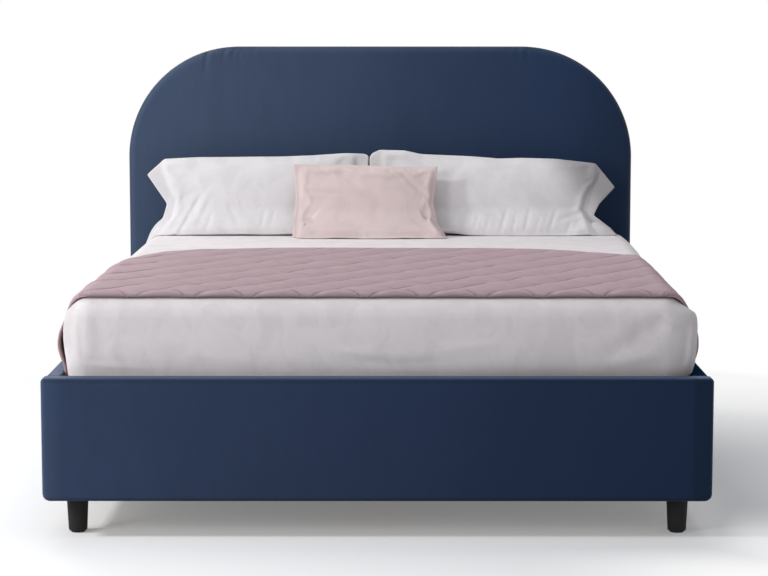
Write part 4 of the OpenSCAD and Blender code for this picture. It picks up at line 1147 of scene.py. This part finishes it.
def stuffed_case(name, node, finish, form):
    """A stuffed case that stands on the sheet and leans back."""
    width = form["low"][-1][0] - form["low"][0][0]
    height = max(point[1] for point in form["high"])
    columns, rows = int(width / form["step"]), int(height / form["step"])
    flat = outline_grid(form, columns, rows)
    across, up = flat[..., 0], flat[..., 1]
    u = np.linspace(0, 1, columns)[:, None]
    v = np.linspace(0, 1, rows)[None, :]
    left, right, low, high = form["seams"]
    upward = stuffing(v, (low / height, high / height))
    upward = upward + (1 - upward) * ramp(-v, -0.5, 0.0) * (v < 0.5) * form["foot"]
    full = stuffing(u, (left / width, right / width)) * upward
    creases = folds_at(flat, form["folds"]) * ramp(full, 0.0, 0.4)
    curl = form["curl"] * (1 - ramp(full, 0.0, 0.25)) * flat_lumps(
        across, up, (9, 9, 9), form["seed"])
    front = full * form["front"] - creases + curl + CASE_THICK
    back = -full * form["back"] + curl - CASE_THICK
    lean = math.radians(form["lean"])
    foot = bed_height(across)
    layers = []
    for out in (front, back):
        y = form["y"] + math.sin(lean) * up - math.cos(lean) * out
        z = foot + CASE_GAP + math.cos(lean) * up + math.sin(lean) * out * ramp(up, 0, 0.1)
        z = z + (TOP_Z - foot) * ramp(up, 0.0, 0.07)
        layers.append(np.stack([across, y, z], 2).reshape(-1, 3))
    piece = make_piece(name, np.concatenate(layers), shell_faces(columns, rows), finish,
                       "platform", [node])
    swollen(piece, np.tile((1 - ramp(full, 0.02, 0.3)).ravel(), 2), form["most"])
    divided(piece)
    points = points_of(piece)
    bed = bed_height(points[:, 0]) + CASE_REST
    rise = np.maximum(points[:, 2] - bed, 0)
    points[:, 2] = bed + rise * ramp(rise, -0.004, 0.022)
    before = points[:, 1] < form["y"]
    spread = form["front"] * (1 - form["foot"]) * 1.15
    points[:, 1] -= spread * (1 - ramp(rise, 0.0, 0.1)) * before
    points[:, 1] = np.minimum(points[:, 1], np.interp(points[:, 2], *HEAD_CLEAR))
    set_points(piece, points)


# Half the thickness of a case's flange, and the gap under a case before and after it swells
CASE_THICK = 0.0016
CASE_GAP = 0.0025
CASE_REST = 0.0012

# Heights, and how far back the bedding may reach there and still clear the headboard as it lifts
HEAD_CLEAR = ([0.55, 0.61, 0.65, 0.7, 0.74, 0.78, 0.82, 0.86, 0.9],
              [0.934, 0.931, 0.927, 0.92, 0.9135, 0.905, 0.895, 0.8836, 0.87])

# What the two pillows share: place along the bed, lean in degrees, spacing of the points,
# fullness left at the foot, thickness before and behind the seams, reach of the swelling,
# curl of the flange and share of the case that is filled
PILLOW = {
    "y": HEAD_LO.y - 0.128, "lean": 7, "step": 0.0085, "foot": 0.5, "front": 0.055,
    "back": 0.045, "most": 0.012, "curl": 0.006, "fill": 0.6,
}

# Outlines of the cases in metres: across from the bed's middle, and up from the sheet. The
# seams run so far from the left, the right, the lower and the upper edge
LEFT_PILLOW = PILLOW | {
    "low": [(-0.799, 0.0), (-0.74, 0.0), (-0.1, 0.0), (-0.0385, 0.0)],
    "left": [(-0.799, 0.0), (-0.729, 0.052), (-0.7146, 0.101), (-0.7818, 0.1988)],
    "high": [(-0.7818, 0.1988), (-0.7234, 0.2525), (-0.6073, 0.2579), (-0.3355, 0.2603),
             (-0.2282, 0.2637), (-0.1175, 0.2711), (-0.0772, 0.27), (-0.048, 0.269),
             (-0.0375, 0.261)],
    "right": [(-0.0385, 0.0), (-0.045, 0.116), (-0.0385, 0.2351), (-0.0375, 0.261)],
    "seams": (0.058, 0.045, 0.004, 0.004), "seed": 1.0,
    "folds": [
        (-0.668, 0.008, -0.6, 0.125, 0.005, 0.011), (-0.63, 0.02, -0.57, 0.14, -0.003, 0.013),
        (-0.579, 0.01, -0.56, 0.075, 0.003, 0.01), (-0.506, 0.1, -0.47, 0.03, 0.003, 0.01),
        (-0.396, 0.02, -0.383, 0.085, 0.003, 0.008), (-0.365, 0.025, -0.352, 0.08, 0.003, 0.007),
        (-0.69, 0.105, -0.6, 0.15, 0.002, 0.014), (-0.69, 0.08, -0.59, 0.06, 0.004, 0.01),
        (-0.1, 0.268, -0.04, 0.215, 0.006, 0.007), (-0.068, 0.272, -0.04, 0.236, 0.005, 0.005),
    ],
}
RIGHT_PILLOW = PILLOW | {
    "low": [(-0.0355, 0.0), (0.05, 0.0), (0.73, 0.0), (0.8, 0.0)],
    "left": [(-0.0355, 0.0), (-0.03, 0.1), (-0.0355, 0.255)],
    "high": [(-0.0355, 0.255), (-0.028, 0.27), (-0.0014, 0.2825), (0.0825, 0.2805),
             (0.1365, 0.2684), (0.3153, 0.2604), (0.3991, 0.2537), (0.4729, 0.2557),
             (0.5903, 0.2527), (0.7234, 0.2369), (0.788, 0.1564)],
    "right": [(0.8, 0.0), (0.7163, 0.0625), (0.735, 0.1), (0.788, 0.1564)],
    "seams": (0.05, 0.07, 0.004, 0.004), "seed": 2.0,
    "folds": [
        (0.31, 0.015, 0.33, 0.07, 0.004, 0.006), (0.35, 0.01, 0.365, 0.06, 0.004, 0.006),
        (0.4, 0.012, 0.425, 0.085, 0.005, 0.007), (0.44, 0.01, 0.455, 0.07, 0.005, 0.006),
        (0.48, 0.012, 0.5, 0.085, 0.005, 0.007), (0.515, 0.01, 0.535, 0.065, 0.004, 0.006),
        (0.56, 0.012, 0.59, 0.08, 0.005, 0.007), (0.62, 0.01, 0.64, 0.05, 0.004, 0.007),
        (0.7, 0.11, 0.6, 0.16, 0.002, 0.014), (0.695, 0.08, 0.6, 0.05, 0.004, 0.01),
    ],
}
SMALL_CUSHION = {
    "low": [(-0.29, 0.0), (-0.2, 0.0), (0.15, 0.0), (0.2246, 0.0)],
    "left": [(-0.29, 0.0), (-0.2774, 0.126), (-0.2849, 0.2444)],
    "high": [(-0.2849, 0.2444), (-0.27, 0.243), (-0.0991, 0.2418), (0.08, 0.236),
             (0.1229, 0.2301), (0.165, 0.2345), (0.1911, 0.2384)],
    "right": [(0.2246, 0.0), (0.19, 0.045), (0.1766, 0.1146), (0.1911, 0.2384)],
    "y": HEAD_LO.y - 0.246, "lean": 13, "step": 0.0065, "seams": (0.018, 0.01, 0.012, 0.008),
    "foot": 0.3, "front": 0.04, "back": 0.034, "most": 0.01, "curl": 0.004, "fill": 0.7,
    "seed": 3.0,
    "folds": [
        (-0.15, 0.225, -0.06, 0.16, 0.004, 0.022), (-0.235, 0.15, -0.12, 0.14, 0.002, 0.01),
        (0.06, 0.215, 0.15, 0.14, 0.005, 0.012), (0.1, 0.06, 0.18, 0.02, 0.004, 0.01),
        (-0.25, 0.06, -0.18, 0.03, 0.003, 0.009), (0.02, 0.225, 0.08, 0.185, 0.004, 0.009),
    ],
}


class BED_OT_pillows(bpy.types.Operator):
    """Two white pillows in flanged cases, and the small cushion"""

    bl_idname = "bed.pillows"
    bl_label = "Pillows and cushion"

    def execute(self, context):
        colours = context.scene.bed_colours
        linen = cloth_finish("pillow_cotton", tuple(colours.linen), painted_shade=pillow_painted_shade)
        pink = cloth_finish("cushion_cotton", tuple(colours.cushion), 0.0012)
        stuffed_case("pillow_case_left", "pillow_left", linen, LEFT_PILLOW)
        stuffed_case("pillow_case_right", "pillow_right", linen, RIGHT_PILLOW)
        stuffed_case("cushion_case", "cushion", pink, SMALL_CUSHION)
        return {"FINISHED"}


class BED_OT_wood(bpy.types.Operator):
    """Boards, battens, slats and the storage floor"""

    bl_idname = "bed.wood"
    bl_label = "Wood and panels"

    def execute(self, context):
        colours = context.scene.bed_colours
        softwood = tuple(colours.softwood)
        dress(wood_finish("softwood_across", softwood, 0),
              "foot_rail_board", "headboard_board", "rest_batten")
        dress(wood_finish("softwood_along", softwood, 1),
              "left_rail_board", "right_rail_board", "centre_bearer", "floor_ledges",
              "corner_blocks")
        dress(wood_finish("softwood_up", softwood, 2), "headboard_battens")
        dress(wood_finish("slat_birch", tuple(colours.birch), 0, 1.6, 0.38), *pair("slats"))
        dress(panel_finish("floor_melamine", tuple(colours.panel)),
              *pair("floor_panel"), "floor_joint_strip")
        return {"FINISHED"}


class BED_OT_fittings(bpy.types.Operator):
    """Steel frame, lift mechanism, feet and the small plastic parts"""

    bl_idname = "bed.fittings"
    bl_label = "Steel and plastic"

    def execute(self, context):
        dress(steel_finish("painted_steel", (0.028, 0.028, 0.03), 0.0, 0.42),
              "head_tube", "foot_tube", "centre_tube",
              *pair("side_tube", "lift_plate", "rear_arm", "front_arm", "lift_bracket",
                    "gas_cylinder"))
        dress(steel_finish("plated_steel", (0.62, 0.61, 0.58), 1.0, 0.26, 180.0),
              "frame_bolts", "fixed_pivot_pins", "spring_studs", "lift_pivot_studs",
              *pair("bracket_foot", "bracket_head"))
        dress(steel_finish("rod_steel", (0.7, 0.7, 0.72), 1.0, 0.12, 600.0), *pair("gas_rod"))
        dress(plastic_finish("foot_plastic", (0.003, 0.003, 0.0032), 0.7),
              *pair("foot_front", "foot_rear"), "foot_centre")
        dress(plastic_finish("holder_plastic", (0.018, 0.018, 0.019), 0.5), "slat_holders")
        dress(plastic_finish("pad_rubber", (0.016, 0.016, 0.016), 0.75),
              "rest_pads", "foot_glides")
        dress(cloth_finish("back_cloth", (0.022, 0.022, 0.024), 0.0024, 0.0012),
              "headboard_back_cloth")
        dress(cloth_finish("strap_webbing", (0.02, 0.02, 0.021), WEBBING_THREAD, 0.0003),
              "pull_strap")
        return {"FINISHED"}


class BED_OT_stage(bpy.types.Operator):
    """Camera, studio lights, white background and floor"""

    bl_idname = "bed.stage"
    bl_label = "Studio"

    def execute(self, context):
        self.camera(context.scene)
        self.world(context.scene)
        self.floor(context.scene)
        for values in LAMPS:
            self.lamp(*values)
        context.scene.view_settings.view_transform = "Standard"
        return {"FINISHED"}

    def camera(self, scene):
        data = bpy.data.cameras.new("photo_camera")
        data.sensor_fit = "HORIZONTAL"
        data.sensor_width = CAMERA_SENSOR
        data.lens = CAMERA_PIXELS * CAMERA_SENSOR / PHOTO_WIDTH
        data.clip_end = 200.0
        camera = placed("photo_camera", data)
        camera.location = CAMERA_PLACE
        camera.rotation_euler = (math.radians(90 - CAMERA_PITCH), 0, math.radians(CAMERA_TURN))
        scene.camera = camera

    def world(self, scene):
        """Even light from all round, behind which the camera sees plain white."""
        scene.world = bpy.data.worlds.new("studio")
        f = Finish("studio", scene.world)
        room = f.node("ShaderNodeBackground", {"Color": ROOM_TINT, "Strength": ROOM_STRENGTH})
        white = f.node("ShaderNodeBackground", {"Color": WHITE, "Strength": 1.0})
        f.node("ShaderNodeOutputWorld", {"Surface": f.mixed_shader(f.seen(), room, white)})

    def floor(self, scene):
        half = FLOOR_HALF
        mesh = bpy.data.meshes.new("studio_floor")
        mesh.from_pydata([(-half, -half, 0), (half, -half, 0), (half, half, 0), (-half, half, 0)],
                         [], [(0, 1, 2, 3)])
        mesh.materials.append(floor_finish("studio_floor", tuple(scene.bed_colours.floor)))
        floor = placed("studio_floor", mesh)

    @staticmethod
    def lamp(name, place, aim, width, height, watts, tint):
        data = bpy.data.lights.new(name, "AREA")
        data.shape = "RECTANGLE"
        data.size = width
        data.size_y = height
        data.energy = watts
        data.color = tint
        lamp = placed(name, data)
        lamp.visible_camera = False
        turn = (Vector(aim) - Vector(place)).to_track_quat("-Z", "Y").to_matrix().to_4x4()
        lamp.matrix_world = Matrix.Translation(place) @ turn


# The camera's place, its turn down and aside in degrees, its focal length in the photo's
# pixels, the photo's width in pixels and the sensor's in millimetres
CAMERA_PLACE = (0.0294, -6.55, 1.282)
CAMERA_PITCH = 6.605
CAMERA_TURN = 0.1244
CAMERA_PIXELS = 2203.2
PHOTO_WIDTH = 768
CAMERA_SENSOR = 36.0

# Light of the room, and the white behind the bed
ROOM_TINT = (0.93, 0.95, 1.0, 1.0)
ROOM_STRENGTH = 0.385
WHITE = (1.0, 1.0, 1.0, 1.0)

# Half the floor's size, how far from the bed it fades into the white background, and the share of
# white glow painted over the shadow close to and under the bed
FLOOR_HALF = 40.0
FLOOR_FADE = (0.3, 0.95)
UNDER_BED_GLOW = 0.17

# Lamps: name, place, aim, width, height, watts and tint
LAMPS = [
    ("key_lamp", (-4.8, -1.6, 3.0), (0.0, 0.2, 0.5), 0.6, 0.6, 140, (1.0, 1.0, 1.0)),
    ("left_lamp", (-3.4, -3.4, 1.7), (-0.4, 0.6, 0.7), 1.4, 1.4, 54, (1.0, 1.0, 1.0)),
    ("top_lamp", (0.0, 0.2, 3.4), (0.0, 0.2, 0.0), 3.0, 3.0, 35, (1.0, 1.0, 1.0)),
    ("rear_lamp", (-2.4, 2.6, 3.2), (0.0, -0.4, 0.5), 1.4, 1.4, 33, (1.0, 1.0, 1.0)),
]


class VIEW3D_PT_bed(bpy.types.Panel):
    """Makes the bed's pieces one by one"""

    bl_label = "Storage bed"
    bl_space_type = "VIEW_3D"
    bl_region_type = "UI"
    bl_category = "Storage bed"

    def draw(self, context):
        layout = self.layout
        for group in (context.scene.bed_sizes, context.scene.bed_colours):
            box = layout.box()
            for name in group.__annotations__:
                box.prop(group, name)
        for operator in OPERATORS:
            layout.operator(operator.bl_idname)


OPERATORS = [BED_OT_stage, BED_OT_wood, BED_OT_fittings, BED_OT_headboard, BED_OT_rails,
             BED_OT_mattress, BED_OT_quilt, BED_OT_pillows]
CLASSES = [BedSizes, BedColours, *OPERATORS, VIEW3D_PT_bed]


def register():
    for item in CLASSES:
        bpy.utils.register_class(item)
    bpy.types.Scene.bed_sizes = bpy.props.PointerProperty(type=BedSizes)
    bpy.types.Scene.bed_colours = bpy.props.PointerProperty(type=BedColours)


def unregister():
    del bpy.types.Scene.bed_sizes
    del bpy.types.Scene.bed_colours
    for item in reversed(CLASSES):
        bpy.utils.unregister_class(item)


def main():
    register()
    for operator in OPERATORS:
        group, name = operator.bl_idname.split(".")
        getattr(getattr(bpy.ops, group), name)()


if __name__ == "__main__":
    main()
